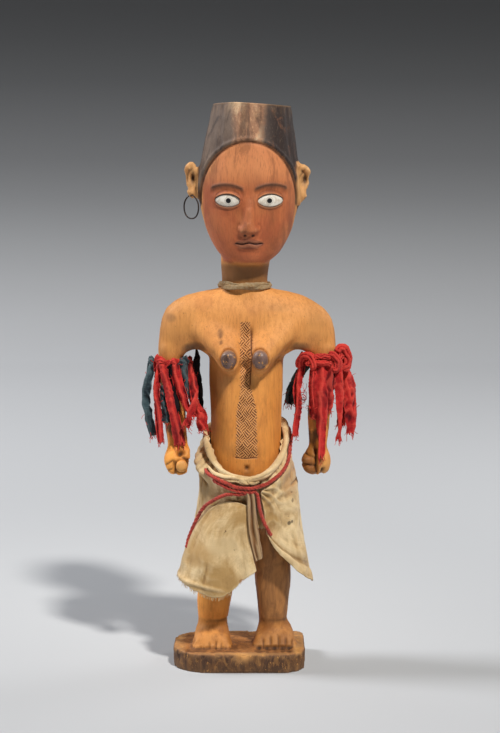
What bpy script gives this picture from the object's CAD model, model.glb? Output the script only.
# %% [markdown]
# # A carved female figure with a wrapper, cords and cloth strips
# The figure is cut from one billet of pale wood, with its base, and then painted, rubbed and dressed.
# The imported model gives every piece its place, in metres, and this lesson gives each one its looks:
# carved relief, worn paint, twisted cord, wrapped cotton and torn strips.

# %% The frame
import math
import random

import bmesh
import bpy
import numpy as np
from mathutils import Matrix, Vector, noise


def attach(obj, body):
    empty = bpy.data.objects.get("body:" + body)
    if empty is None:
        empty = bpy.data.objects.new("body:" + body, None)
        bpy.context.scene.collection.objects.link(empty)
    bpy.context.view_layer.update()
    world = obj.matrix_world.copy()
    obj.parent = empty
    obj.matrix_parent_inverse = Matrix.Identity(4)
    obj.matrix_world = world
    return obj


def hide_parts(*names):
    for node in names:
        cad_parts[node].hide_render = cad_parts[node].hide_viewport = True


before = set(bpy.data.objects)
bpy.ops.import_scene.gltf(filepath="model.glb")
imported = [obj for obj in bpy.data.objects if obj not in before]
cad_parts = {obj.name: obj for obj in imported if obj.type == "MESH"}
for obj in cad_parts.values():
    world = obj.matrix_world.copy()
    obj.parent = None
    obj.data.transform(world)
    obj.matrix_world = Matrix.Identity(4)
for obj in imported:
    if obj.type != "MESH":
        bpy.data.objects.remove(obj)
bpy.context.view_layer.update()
MM = 0.001
print("solids in the frame:", len(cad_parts))

# %% [markdown]
# ## Camera
# A long lens a little above the middle of the figure keeps its sides nearly upright. A 105 mm lens at
# 1.6 m does that. The aim is a little over half the figure's height, so that the base has floor in front.

# %% Camera
CAMERA_X, CAMERA_AWAY, CAMERA_UP, AIM_UP = 0.00825, 1.6, 0.415, 0.22684
camera_data = bpy.data.cameras.new("camera")
camera_data.lens = 105
camera_data.sensor_fit = "VERTICAL"
camera_data.sensor_height = 36
camera = bpy.data.objects.new("camera", camera_data)
bpy.context.collection.objects.link(camera)
camera.location = (CAMERA_X, -CAMERA_AWAY, CAMERA_UP)
aim = Vector((CAMERA_X, 0, AIM_UP))
camera.rotation_euler = (aim - camera.location).to_track_quat("-Z", "Y").to_euler()
bpy.context.scene.camera = camera
print("camera is", round((aim - camera.location).length, 3), "m from its aim")

# %% [markdown]
# ## The wrapper's surface
# Cord and cloth lie on one surface round the hips. It is kept as level sections that each have a centre,
# two half widths and a squareness. A point on it is found from an angle and a height, so every fold,
# hem and knot can be written as angles and heights, and sits on what carries it.


# %% Values between stations
def between(row, t):
    """Smooth value through a row of numbers"""
    i = min(len(row) - 2, max(0, math.floor(t)))
    f = t - i
    b, c = row[i], row[i + 1]
    a = row[i - 1] if i > 0 else 2 * b - c
    d = row[i + 2] if i + 2 < len(row) else 2 * c - b
    return b + 0.5 * f * (c - a + (2 * a - 5 * b + 4 * c - d) * f + (3 * b - a - 3 * c + d) * f * f)


def at(stations, height):
    """A section's values at a height, from stations that climb"""
    h = min(stations[-1][0], max(stations[0][0], height))
    i = 0
    while i < len(stations) - 2 and stations[i + 1][0] < h:
        i += 1
    t = i + (h - stations[i][0]) / (stations[i + 1][0] - stations[i][0])
    return [between([row[k] for row in stations], t) for k in range(len(stations[0]))]


def height_of(edge, angle):
    """An edge's height at an angle, straight between its stations"""
    return float(np.interp(angle, [a for a, _ in edge], [h for _, h in edge]))


def along(points, count):
    """Even run of count points on a smooth line through a few"""
    spread = [(len(points) - 1) * i / (count - 1) for i in range(count)]
    return [Vector([between([p[k] for p in points], t) for k in range(len(points[0]))]) for t in spread]


# %% Sections of the wrapper
# Each section: height, middle across and in depth, half width, half depth, squareness.
WRAP = [
    (56, 3.6, -0.5, 51.5, 32.5, 2.7),
    (80, 3.8, -0.5, 46.8, 32.5, 2.6),
    (100, 4.2, -0.5, 42.6, 32.5, 2.4),
    (127, 6, -0.5, 38, 32.5, 2.3),
    (150, 4.8, -1, 36, 32, 2.2),
    (166, 5, -1.6, 30.8, 29.8, 2.15),
    (188, 5.2, -1.6, 29, 26.8, 2.15),
]
WAIST_EDGE = [
    (-180, 186), (-130, 184), (-95, 178), (-60, 168), (-30, 154), (0, 147.5), (30, 153),
    (65, 168), (90, 180), (120, 187), (180, 186),
]
WAIST_CORD = [
    (-180, 178.5), (-140, 176), (-105, 168.5), (-72, 157.5), (-52, 151.5), (-32, 146), (-10, 140.5),
    (8, 140), (26, 143.5), (45, 151), (64, 161), (82, 171), (104, 179), (140, 180.5), (180, 178.5),
]


def on_cloth(angle, height, out=0.0):
    """Point on the wrapper in millimetres; angle runs from the front toward +X"""
    _, cx, cy, a, b, n = at(WRAP, height)
    x = math.sin(math.radians(angle))
    y = -math.cos(math.radians(angle))
    reach = 1 / (abs(x / (a + out)) ** n + abs(y / (b + out)) ** n) ** (1 / n)
    return Vector((cx + x * reach, cy + y * reach, height))


print("front of the wrapper at the cord:", [round(v, 1) for v in on_cloth(0, 140)])

# %% [markdown]
# ## Making tools
# Two tools make the soft pieces. One bevels lines of points into round strands and joins them. The other
# starts from a grid, keeps the cut cloth's size as its UV map, and then moves every corner of the grid to
# its place, as a tailor pins a flat cut onto a stand. Rolled around a line, the same grid makes a tube.


# %% Objects and meshes
def put(name, mesh, smooth=True):
    """Object of that name for a finished mesh"""
    if smooth:
        mesh.polygons.foreach_set("use_smooth", [True] * len(mesh.polygons))
    piece = bpy.data.objects.new(name, mesh)
    bpy.context.collection.objects.link(piece)
    return piece


def finished(name, made):
    """Object of a mesh that has been worked on"""
    mesh = bpy.data.meshes.new(name)
    made.to_mesh(mesh)
    made.free()
    return put(name, mesh)


def as_seen(piece):
    """Mesh of a piece with its modifiers or its bevel worked in"""
    bpy.context.view_layer.update()
    graph = bpy.context.evaluated_depsgraph_get()
    return bpy.data.meshes.new_from_object(piece.evaluated_get(graph))


def settled(piece, kind, **settings):
    """The piece gets a modifier, and it is worked in at once"""
    added = piece.modifiers.new(kind.lower(), kind)
    for key, value in settings.items():
        setattr(added, key, value)
    mesh = as_seen(piece)
    piece.modifiers.clear()
    old = piece.data
    piece.data = mesh
    bpy.data.meshes.remove(old)
    mesh.name = piece.name


def join(name, pieces):
    """One object of several, with their UV maps and attributes"""
    made = bmesh.new()
    for piece in pieces:
        made.from_mesh(piece.data)
        bpy.data.objects.remove(piece)
    return finished(name, made)


# %% Strands
def strands(name, lines, radius, sides=2, closed=False, thin_ends=0.0):
    """Round strands in one mesh, each along a line of points in metres"""
    curve = bpy.data.curves.new(name, "CURVE")
    curve.dimensions = "3D"
    curve.bevel_depth = radius
    curve.bevel_resolution = sides
    curve.use_fill_caps = not closed
    for line in lines:
        spline = curve.splines.new("POLY")
        spline.points.add(len(line) - 1)
        last = len(line) - 1
        for i, (point, place) in enumerate(zip(spline.points, line)):
            point.co = (*place, 1)
            end = min(i, last - i) / max(1, thin_ends * last)
            point.radius = 1 if closed or thin_ends == 0 else min(1, 0.35 + 0.65 * end)
        spline.use_cyclic_u = closed
    holder = put(name, curve, smooth=False)
    made = bmesh.new()
    made.from_mesh(as_seen(holder))
    bpy.data.objects.remove(holder)
    bmesh.ops.remove_doubles(made, verts=made.verts, dist=1e-7)
    bmesh.ops.recalc_face_normals(made, faces=made.faces)
    return finished(name, made)


def length_of(line):
    return sum((b - a).length for a, b in zip(line, line[1:]))


def frames_along(line):
    """Side and lift at each point of a line, turning as little as they can"""
    ways = [(line[min(i + 1, len(line) - 1)] - line[max(i - 1, 0)]).normalized() for i in range(len(line))]
    side = ways[0].orthogonal().normalized()
    found = []
    for way in ways:
        side = (side - way * side.dot(way)).normalized()
        found.append((side, way.cross(side)))
    return found


LAY = 0.0085
STRANDS = 3


def laid(name, line, across, wobble, closed=False, thin_ends=0.0):
    """Rope of three strands round a line of points in metres, with one turn in every LAY metres"""
    radius = across * 0.28
    reach = across / 2 - radius
    turns = length_of(line) / LAY
    if closed:
        turns = round(turns)
        line = line[:-1]
    frames = frames_along(line)
    lines = []
    for k in range(STRANDS):
        strand = []
        for i, (point, (side, lift)) in enumerate(zip(line, frames)):
            turn = 2 * math.pi * (turns * i / len(line) + k / STRANDS)
            shift = 1 + wobble * noise.noise(point * 400 + Vector((k * 7, 0, 0)))
            strand.append(point + (side * math.cos(turn) + lift * math.sin(turn)) * reach * shift)
        lines.append(strand)
    return strands(name, lines, radius, closed=closed, thin_ends=thin_ends)


# %% A cut that is pinned to its place
def shaped_grid(name, flat, cells, place, thick=0.0):
    """Grid cut to flat = (width, length) in metres; place(u, v) gives a corner in millimetres"""
    made = bmesh.new()
    cut = made.loops.layers.uv.new("cut")
    bmesh.ops.create_grid(made, x_segments=cells[0], y_segments=cells[1], size=0.5)
    for face in made.faces:
        for loop in face.loops:
            u, v = loop.vert.co.x + 0.5, loop.vert.co.y + 0.5
            loop[cut].uv = (u * flat[0], v * flat[1])
    for vert in made.verts:
        vert.co = Vector(place(vert.co.x + 0.5, vert.co.y + 0.5)) * MM
    bmesh.ops.remove_doubles(made, verts=made.verts, dist=2e-6)
    piece = finished(name, made)
    if thick:
        settled(piece, "SOLIDIFY", thickness=thick * MM, offset=0, use_even_offset=False)
    return piece


def rings(name, line, around, radius, size_of, squash=1.0):
    """Skin of rings round a line of points in millimetres; size_of(spin, v) is a ring's half width"""
    frames = frames_along(line)
    last = len(line) - 1

    def place(u, v):
        i = round(v * last)
        side, lift = frames[i]
        spin = 2 * math.pi * u
        return line[i] + (side * math.cos(spin) + lift * math.sin(spin) * squash) * size_of(spin, v)

    return shaped_grid(name, (2 * math.pi * radius * MM, length_of(line) * MM), (around, last), place)


def patch(top, bottom, left, right, u, v):
    """Point inside four edges, each a list of points; v runs from the bottom to the top"""

    def on(edge, t):
        return Vector([between([p[k] for p in edge], t * (len(edge) - 1)) for k in range(2)])

    flat = on(bottom, u) * (1 - v) + on(top, u) * v + on(left, v) * (1 - u) + on(right, v) * u
    low = Vector(bottom[0]) * (1 - u) + Vector(bottom[-1]) * u
    high = Vector(top[0]) * (1 - u) + Vector(top[-1]) * u
    return flat - low * (1 - v) - high * v


def hump(distance, width):
    """1 at no distance, and nearly 0 past twice the width"""
    return math.exp(-((distance / width) ** 2))


def held(value):
    """The value, kept from 0 to 1"""
    return min(1.0, max(0.0, value))


def soft_noise(*place):
    return noise.noise(Vector(place))


# %% [markdown]
# ## The red cord
# The cord is three soft strands, laid together about 3 mm thick. It goes once round the hips over the
# wrapper, is knotted in front, and leaves two free ends: a long one that runs over the front flap and a
# short one that hangs beside the tie. Real strands round a centre line show the lay, where a plain tube
# with a striped picture would look flat. Each free end is declared with its real length.

# %% Routes of the cord
CORD = 3
CORD_OUT = CORD / 2 + 0.35
LONG_END = [(-16.5, 135.6), (-27, 134.4), (-39, 130.6), (-53, 124), (-62, 113.4), (-68, 101), (-69, 91.5)]
SHORT_END = [(13.6, 134), (15.5, 124.5), (21.5, 114.5), (31.5, 103.5)]


def route(stations, out, count):
    """Line of points in metres through places given as angles and heights"""
    return along([on_cloth(angle, z, out) * MM for angle, z in stations], count)


def under_fold(angle):
    """1 at the right hip, where a fold of the wrapper covers the cord, and 0 elsewhere"""
    return held((-46 - angle) / 10) * held((angle + 134) / 12)


stations = [(a / 2, height_of(WAIST_CORD, a / 2)) for a in range(-360, 360, 12)]
stations.append(stations[0])
loop_line = along([on_cloth(a, h, CORD_OUT + 2 - 3.1 * under_fold(a)) * MM for a, h in stations], 420)
long_line = route(LONG_END, CORD_OUT + 0.5, 130)
short_line = route(SHORT_END, CORD_OUT + 0.3, 70)
print("cord ends:", round(length_of(long_line), 4), round(length_of(short_line), 4))

# %% The cord's pieces
def stand_for(piece, node=None):
    """The piece moves with the body, names its material's slot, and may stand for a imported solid"""
    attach(piece, "root")
    if node:
        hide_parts(node)


UNDER_LOOP = [
    ([(-40, 145.4), (-30, 142.4), (-19, 139.4), (-8, 137.6), (4, 137.0), (12, 137.8)], 1.3),
    ([(-16.5, 135.6), (-9, 135.2), (-1, 136.2), (6, 138.6)], 0.5),
    ([(13.6, 134), (12.2, 136), (8.5, 138.2), (2, 139.4)], 0.4),
]
knot_parts = [laid("cord_loop", loop_line, CORD * MM, 0.25, closed=True)]
for turn, (places_under, out) in enumerate(UNDER_LOOP):
    bend = route(places_under, CORD_OUT + out, 44)
    knot_parts.append(laid(f"cord_turn_{turn}", bend, CORD * 0.94 * MM, 0.25, thin_ends=0.05))
cord_loop = join("cord_round_the_waist", knot_parts)
cord_long = laid("cord_long_end", long_line, CORD * MM, 0.3, thin_ends=0.012)
cord_short = laid("cord_short_end", short_line, CORD * MM, 0.3, thin_ends=0.02)
for piece, node in [
    (cord_loop, "waist_cord"), (cord_long, "waist_cord_long_end"), (cord_short, "waist_cord_short_end"),
]:
    stand_for(piece, node)
print("cord triangles:", sum(len(p.data.polygons) * 2 for p in (cord_loop, cord_long, cord_short)))

# %% [markdown]
# ## The carving
# The figure is one piece of wood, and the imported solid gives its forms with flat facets. A voxel remesh
# of a merged copy turns them into one even skin of quads, and a little smoothing rounds it as knife and
# hand do. Where the carving is fine, the skin is then subdivided, and the cuts are pressed in with
# formulas: grooves, lids, toes, ear rims and chips. One skin keeps the piece whole, with no seams.

# %% One even skin
SKIN = 2.05


def merged(node, grow=None):
    """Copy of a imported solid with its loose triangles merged, grown about its middle"""
    made = bmesh.new()
    made.from_mesh(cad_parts[node].data)
    bmesh.ops.remove_doubles(made, verts=made.verts, dist=1e-6)
    if grow:
        middle = sum((v.co for v in made.verts), Vector()) / len(made.verts)
        for vert in made.verts:
            vert.co = middle + Vector([(vert.co - middle)[k] * grow[k] for k in range(3)])
    return finished(node + "_copy", made)


inlay_growth = (1.12, 1.3, 1.2)
carving = join("carved_figure", [
    merged("figure"), merged("eye_right", inlay_growth), merged("eye_left", inlay_growth),
])
settled(carving, "REMESH", mode="VOXEL", voxel_size=SKIN * MM)
print("even skin:", len(carving.data.polygons), "faces")

# %% Smoothing and finer cells where the carving is fine
EYE_LINE = 352.75
FACE_X = 7.5
NOSE_BASE = 329.1
MOUTH_LINE = 321.2
EYES = [(FACE_X - 15.5, EYE_LINE), (FACE_X + 15.5, EYE_LINE)]
KNOBS = [(-7.3, 236.0), (15.6, 236.0)]
KNOB_FRONT = -34.6
# Each ear: its place seen from the front, its side, the place of its bowl and that of its pierced hole.
EARS = [(-33.4, 366.2, -1, 0.9, 1.6, 2.5), (45.4, 364.4, 1, 3.6, 2.6, 4.3)]
CAP_RIM = 423.4
CAP_ARCH = (7, 352, 36.6, 44.6)
BASE_TOP = 15
NAVEL = (5.9, 153.6)


def band_half(z):
    """Half width of the cut band, narrow on the chest and wide on the belly"""
    return 3.5 + 4.0 * np.clip((214 - z) / 18, 0, 1) + 0.6 * np.maximum((180 - z) / 20, 0)


def band_middle(z):
    return 5.7 - 1.0 * np.clip((z - 205) / 14, 0, 1)


def arch_of(x, z):
    """How far out a place is in the arch of the cap's edge, seen from the front; 1 is on the edge"""
    middle, spring, half, tall = CAP_ARCH
    return ((x - middle) / half) ** 2 + ((np.maximum(z, spring) - spring) / tall) ** 2


def in_band(p, margin=1.2):
    return p.y < -8 and 159.5 < p.z < 263.5 and abs(p.x - band_middle(p.z)) < band_half(p.z) + margin


def on_face(p):
    return p.y < -12 and 305 < p.z < 398 and abs(p.x - FACE_X) < 37


def fine_face(p):
    eyes = any(abs(p.x - x) < 12.5 and abs(p.z - z) < 8.5 for x, z in EYES)
    nose = abs(p.x - FACE_X) < 9 and NOSE_BASE - 4 < p.z < NOSE_BASE + 9
    mouth = abs(p.x - FACE_X) < 14 and abs(p.z - MOUTH_LINE) < 6
    return p.y < -20 and (eyes or nose or mouth)


def on_ear(p):
    return any(abs(p.x - ear[0]) < 10 and abs(p.z - ear[1]) < 17 for ear in EARS) and p.y < 6


def on_knob(p):
    return p.y < -26 and any((p.x - x) ** 2 + (p.z - z) ** 2 < 80 for x, z in KNOBS)


def on_detail(p):
    fists = 142 < p.z < 172 and p.y < -6 and (p.x < -33 or p.x > 44)
    toes = p.y < -14 and 9 < p.z < 23
    rim = 10.5 < p.z < 17 and (abs(p.x) > 40 or abs(p.y) > 31)
    cap_line = p.y < 3 and p.z > 345 and 0.88 < arch_of(p.x, p.z) < 1.16
    navel = p.y < -20 and abs(p.x - 5.7) < 5 and abs(p.z - 153.5) < 5
    return fists or toes or rim or cap_line or navel or p.z > 417 or on_knob(p)


skin = bmesh.new()
skin.from_mesh(carving.data)
crisp = [v for v in skin.verts if v.co.z > 0.414 or v.co.z < 0.0165]
rounded = [v for v in skin.verts if 0.0165 <= v.co.z <= 0.414]
for verts, times in [(crisp, 2), (rounded, 6)]:
    for _ in range(times):
        axes = {"use_axis_x": True, "use_axis_y": True, "use_axis_z": True}
        bmesh.ops.smooth_vert(skin, verts=verts, factor=0.5, **axes)


def refine(where):
    """Halve the cells of the skin where a test holds, in millimetres"""
    faces = [f for f in skin.faces if where(f.calc_center_median() / MM)]
    edges = list({edge for face in faces for edge in face.edges})
    bmesh.ops.subdivide_edges(skin, edges=edges, cuts=1, use_grid_fill=True)


refine(lambda p: in_band(p) or on_face(p) or on_ear(p) or on_detail(p))
refine(lambda p: in_band(p) or fine_face(p) or on_knob(p))
refine(lambda p: in_band(p, 0.2))
skin.to_mesh(carving.data)
skin.free()
print("finer skin:", sum(len(f.vertices) - 2 for f in carving.data.polygons), "triangles")

# %% [markdown]
# ## Pressing in the relief
# Every cut is a depth that is worked out for all the skin's corners at once, and then moves them along
# their normals or straight back. The same formulas give masks, such as how deep a groove is or where
# the cap lies, and the masks are kept as attributes for the paint.

# %% Arrays of the skin
def numbers(items, key, width=3, kind=float):
    """One row for each corner or edge of a mesh"""
    found = np.empty(len(items) * width, dtype=kind)
    items.foreach_get(key, found)
    return found.reshape(-1, width)


def skin_arrays(mesh):
    """Places in millimetres, normals, and the two ends of every edge"""
    places = numbers(mesh.vertices, "co") / MM
    return places, numbers(mesh.vertices, "normal"), numbers(mesh.edges, "vertices", 2, int)


def keep(mesh, name, values):
    """A value for every corner, kept for the materials"""
    kept = mesh.attributes.new(name, "FLOAT", "POINT")
    kept.data.foreach_set("value", np.asarray(values, dtype=np.float32))


places, normals, ends = skin_arrays(carving.data)
x, y, z = places.T


def ramp(low, high, value):
    t = np.clip((value - low) / (high - low), 0, 1)
    return t * t * (3 - 2 * t)


def bell(distance, width):
    return np.exp(-((distance / width) ** 2))


def apart(px, pz, wide=1.0, tall=1.0):
    """How far every corner is from a place seen from the front, in half widths and half heights"""
    return np.hypot((x - px) / wide, (z - pz) / tall)


def most(*values):
    return np.maximum.reduce(values)


def at_corners(ends, values, size):
    """Sum of the edges' values at each of size corners"""
    return sum(np.bincount(ends[:, k], weights=values[k], minlength=size) for k in (0, 1))


def averaged(values, ends, times):
    """Average of each corner with its neighbours, over and over"""
    count = np.bincount(ends.ravel(), minlength=len(values)) + 1.0
    for _ in range(times):
        across_edges = values[ends[:, 1]], values[ends[:, 0]]
        values = (values + at_corners(ends, across_edges, len(values))) / count
    return values


def grain_noise(scale, seed, stretch=(1, 1, 1)):
    """Smooth noise at every corner, one value for each"""
    kx, ky, kz = [s / scale for s in stretch]
    return np.array([soft_noise(a * kx + seed, b * ky - seed, c * kz) for a, b, c in places])


push = np.zeros(len(places))
back = np.zeros(len(places))
front = ramp(-6, -12, y)
masks = {}

# %% The cut band on the chest and belly
half, middle = band_half(z), band_middle(z)
CELL = 5.0
LINES = 3
CUT_DEPTH = 0.85
TRUNK_X, TRUNK_HALF = 5.4, 27
drift = grain_noise(9, 31)
small_drift = grain_noise(5, 47)
across = x - middle + 0.7 * drift
tall = z + 0.9 * small_drift
slope = 1.12 + 0.1 * drift
rise, fall = (across * slope + tall) / math.sqrt(2), (across * slope - tall) / math.sqrt(2)
with_rise = (np.floor(rise / CELL) + np.floor(fall / CELL)) % 2 == 0
line = np.where(with_rise, fall, rise) / (CELL / LINES)
stop = np.where(with_rise, rise, fall) / CELL % 1
open_end = ramp(0.0, 0.07, stop) * ramp(1.0, 0.93, stop)
depth = bell((line % 1) - 0.5, 0.28) * open_end * (0.8 + 0.5 * small_drift)
inside = ramp(half + 0.4 + 0.6 * np.sin(z * 1.35 + 3 * drift), half - 0.3, np.abs(x - middle))
inside = inside * ramp(160.2, 161.2, z) * ramp(263.2, 261.6, z) * front
border = bell(z - 161.2 - 0.5 * drift, 0.42) * (np.abs(across) < half) * front
cut = most(np.clip(depth * inside, 0, 1), border * 0.9)
side_groove = bell(x - 8.6 - 0.012 * (z - 236), 0.6) * ramp(213, 218, z) * ramp(261, 254, z) * front
push += 0.22 * inside - CUT_DEPTH * cut - 1.0 * side_groove
trunk = ramp(160, 172, z) * ramp(232, 222, z) * front
sideways = np.abs(x - TRUNK_X)
back += trunk * 3.0 * np.clip(2 * (sideways / TRUNK_HALF) ** 2 - 1, -1, 0.9) * (sideways < 34)
masks["cut"] = np.clip(most(cut, side_groove * 0.8), 0, 1)
masks["band"] = inside
print("deepest cut:", round(float(CUT_DEPTH * cut.max()), 2), "mm")

# %% The face: lids and brows
lines = brow_paint = np.zeros(len(places))
facing = ramp(-18, -24, y)
for eye_x, eye_z in EYES:
    u = (x - eye_x) * np.sign(eye_x - FACE_X)
    v = z - eye_z - 0.02 * u
    edge = 4.3 * np.clip(1 - (u / 9.4) ** 2, 0, 1) ** 0.75
    off = np.abs(v) - edge + 2.2 * np.clip(np.abs(u) - 8.6, 0, 9)
    near = facing * (np.abs(u) < 15) * (np.abs(v) < 16)
    back += 1.5 * ramp(0.35, -0.35, off) * near
    push += near * (1.0 * bell(off - 1.0, 0.85) - 0.35 * bell(off - 3.1, 1.1) * (v > 0))
    lines = most(lines, near * bell(off - 0.2, 0.75))
    arc = 11.6 - 0.021 * (u - 1) ** 2
    brow = facing * ramp(-12.5, -10, u) * ramp(14.5, 11, u)
    brow_paint = most(brow_paint, brow * bell(v - arc, 1.5))
    push += brow * (0.8 * bell(v - arc, 1.25) - 0.5 * bell(v - arc + 3.6, 2.2))
print("corners in the lids' lines:", int((lines > 0.5).sum()))

# %% The face: nose, lips and chin
fx = x - FACE_X
nostril = wings = wing_crease = 0.0
for s in (-1, 1):
    nostril = nostril + bell(apart(FACE_X + s * 2.9, NOSE_BASE - 1.6, 1, 0.8), 1.15) * (y < -33)
    wings = wings + bell(apart(FACE_X + s * 5.6, NOSE_BASE + 2.2), 2.4) * facing
    crease = bell(apart(FACE_X + s * 7.2, NOSE_BASE + 3.5, 1, 1 / 0.55) - 1.6, 0.8)
    wing_crease = wing_crease + crease * (fx * s > 6.4) * facing
push += 0.9 * wings - 0.4 * wing_crease
back += 1.4 * nostril
bow = MOUTH_LINE + 0.5 * bell(fx, 3) - 0.4 * bell(np.abs(fx) - 5, 3)
parting = bell(z - bow, 0.5) * ramp(10.8, 9.2, np.abs(fx)) * facing
upper = bell(z - bow - 2.1, 1.25) * ramp(11, 6, np.abs(fx)) * facing
lower = bell(z - bow + 2.3, 1.5) * ramp(10, 5, np.abs(fx)) * facing
over_lip = ramp(NOSE_BASE - 1.2, NOSE_BASE - 3, z) * ramp(MOUTH_LINE + 3.4, MOUTH_LINE + 4.6, z)
philtrum = bell(fx, 1.3) * over_lip * facing
under = bell(fx, 7) * bell(z - MOUTH_LINE + 6.3, 1.6) * facing
push += 0.55 * upper + 0.7 * lower - 0.3 * philtrum - 0.45 * under - 1.0 * parting
lip_line = np.abs(z - MOUTH_LINE + 0.2) + 0.028 * fx ** 2
masks["lips"] = ramp(4.3, 3.6, lip_line) * ramp(12, 10, np.abs(fx)) * facing
masks["dark"] = np.clip(most(lines, parting, nostril, brow_paint * 0.9), 0, 1)

# %% Cap and its edge
arch = np.sqrt(arch_of(x, z))
cap = np.where(y < -1, ramp(0.985, 1.005, arch), 1.0) * ramp(338, 341.5, z + 0.25 * np.clip(y, -2, 20))
cap = cap * (np.abs(x - 7.6) < 40)
turn = np.arctan2(y - 1.8, x - 8)
uneven = grain_noise(16, 3, (1, 1, 0.35))
knife = 0.26 * np.sin(turn * 17 + 3.4 * uneven) + 0.14 * np.sin(turn * 31 + 5 * uneven)
push += knife * cap * ramp(344, 352, z) * ramp(424, 421, z)
edge_line = ramp(346, 350, z) * (y < 0)
push += edge_line * (1.05 * bell(arch - 1.035, 0.03) - 0.9 * bell(arch - 0.972, 0.018))
dirt = edge_line * bell(arch - 0.983, 0.017)
rim_x, rim_a, rim_b = (
    np.interp(np.clip(z, 396, CAP_RIM), [396, 412, CAP_RIM], row)
    for row in ([8.3, 9, 9.7], [34, 31, 28.9], [33, 30, 28.0])
)
reach_out = np.hypot((x - rim_x) / rim_a, (y - 1.8) / rim_b)
rim_shift = ramp(410, 417, z) * ramp(0.86, 0.95, reach_out) * (1.004 / np.maximum(reach_out, 0.5) - 1)

# %% Ears
ear_mask = np.zeros(len(places))
for ear_x, ear_z, side, bowl_x, bowl_z, hole_x in EARS:
    ex, ez = (x - ear_x) * side, z - ear_z
    round_ear = (np.abs((ex + 0.4) / 8.6) ** 2.6 + np.abs(ez / 15) ** 2.6) ** (1 / 2.6)
    on = (np.abs(ex) < 10) & (np.abs(ez) < 16.5) & (ex > -6.5)
    faced = on * ramp(0.45, 0.1, normals[:, 1])
    crest = ramp(-2.6, 0, ex + 0.25 * np.clip(ez - 6, 0, 9))
    helix = bell(round_ear - 0.86, 0.11) * ramp(-9, -5, ez) * crest
    round_bowl = np.hypot((ex - bowl_x - 0.8) / 2.4, (ez - bowl_z - 2) / 5.6)
    fold = bell(round_bowl - 1, 0.24) * ramp(-2.4, -0.6, ex)
    bowl = bell(np.hypot((ex - bowl_x) / 2.2, (ez - bowl_z) / 4.8), 0.85)
    scapha = bell(round_ear - 0.62, 0.08) * ramp(-3, 2, ez) * ramp(0, 2, ex)
    notch = bell(ex - 1.6 - 0.5 * (ez - 7), 0.9) * bell(ez - 8, 3.4) * (side > 0)
    lobe_hole = bell(np.hypot(ex - hole_x, ez + 11.2), 0.75)
    push += faced * (1.3 * helix + 0.7 * fold)
    back += faced * (3.2 * bowl + 1.1 * scapha + 0.8 * lobe_hole + 1.2 * notch)
    ear_mask = most(ear_mask, on * ramp(1.25, 1.08, round_ear) * ramp(-3.6, -2.2, ex))
    dirt = most(dirt, np.minimum(faced * most(1.15 * bowl, 0.7 * scapha, lobe_hole, 0.8 * notch), 1))
masks["cap"] = cap * (1 - ear_mask)
masks["ear"] = ear_mask
print("corners on the cap and the ears:", int((cap > 0.5).sum()), int((ear_mask > 0.5).sum()))

# %% Knobs
masks["knob"] = np.zeros(len(places))
for knob_x, knob_z in KNOBS:
    away = apart(knob_x, knob_z, 6.0, 7.1)
    before = ramp(-27, -30, y)
    dome = KNOB_FRONT - 5.8 * np.sqrt(np.clip(1 - away ** 2, 0, 1)) ** 0.9
    inner = ramp(1.03, 0.97, away) * before
    back += inner * (dome - y)
    push -= 1.3 * bell(away - 1.12, 0.085) * before
    masks["knob"] = most(masks["knob"], inner)
print("corners on the knobs:", int((masks["knob"] > 0.5).sum()))


# %% Hands
def groove(a, b, width):
    """1 along a straight cut between two points of (x, z), seen from the front"""
    way = np.array(b) - np.array(a)
    t = np.clip(((x - a[0]) * way[0] + (z - a[1]) * way[1]) / way.dot(way), 0, 1)
    return bell(np.hypot(x - a[0] - t * way[0], z - a[1] - t * way[1]), width)


fist = ramp(-6, -11, y) * ramp(140, 143, z) * ramp(175, 171, z)
ball_end = apart(-42.8, 154, 5.0, 5.4)
# Each cut: from where to where, its width and its depth.
FINGER_CUTS = [
    ((-48.8, 158), (-47.4, 147), 0.9, 1.5), ((-54.4, 155), (-49.6, 158.6), 0.6, 0.6),
    ((-41.8, 160.6), (-36.8, 158), 0.8, 1.3), ((-53.4, 150.6), (-49.4, 152.6), 0.5, 0.5),
    ((57.4, 166.5), (57.6, 147.5), 1.2, 2.2), ((47.6, 155.4), (56.6, 155), 0.9, 1.6),
    ((49.2, 163.2), (56.4, 160.8), 0.8, 1.2), ((62.3, 152), (61.6, 147), 1.3, 2.6),
]
hand_cuts = [(groove(a, b, width), deep) for a, b, width, deep in FINGER_CUTS] + [
    (bell(apart(-43.8, 163.6, 1.5, 1.25), 1.9), 3.6), (bell(ball_end - 1.08, 0.14) * ramp(162, 157, z), 1.9),
]
hand_swells = [
    (groove((-36.6, 168.2), (-40.6, 160.6), 2.2), 1.3), (ramp(0.95, 0.6, ball_end), 0.7),
    (bell(apart(50.6, 159.4), 2.4), 0.9), (bell(apart(52.6, 151), 2.6), 0.9),
    (ramp(58.8, 59.6, x) * ramp(68, 65, x) * ramp(148, 151, z) * ramp(165, 160, z), 1.2),
]
for where, deep in hand_cuts:
    push -= deep * where * fist
    dirt = most(dirt, where * fist)
for where, high in hand_swells:
    push += high * where * fist
rub = ramp(0.9, 0.7, ball_end) + ramp(59.2, 60.2, x) * ramp(170, 163, z)
masks["rub"] = np.clip(rub, 0, 1) * fist * (normals[:, 1] < -0.2)
dirt = most(dirt, 0.7 * ramp(58.4, 57.4, x) * ramp(44, 46, x) * fist)
under_cloth = ramp(160, 176, z) * ramp(235, 226, z) * (np.abs(x - 5.5) > 34)
masks["grime"] = under_cloth * ramp(0.35, 0.75, 0.6 + grain_noise(9, 12))

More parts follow.
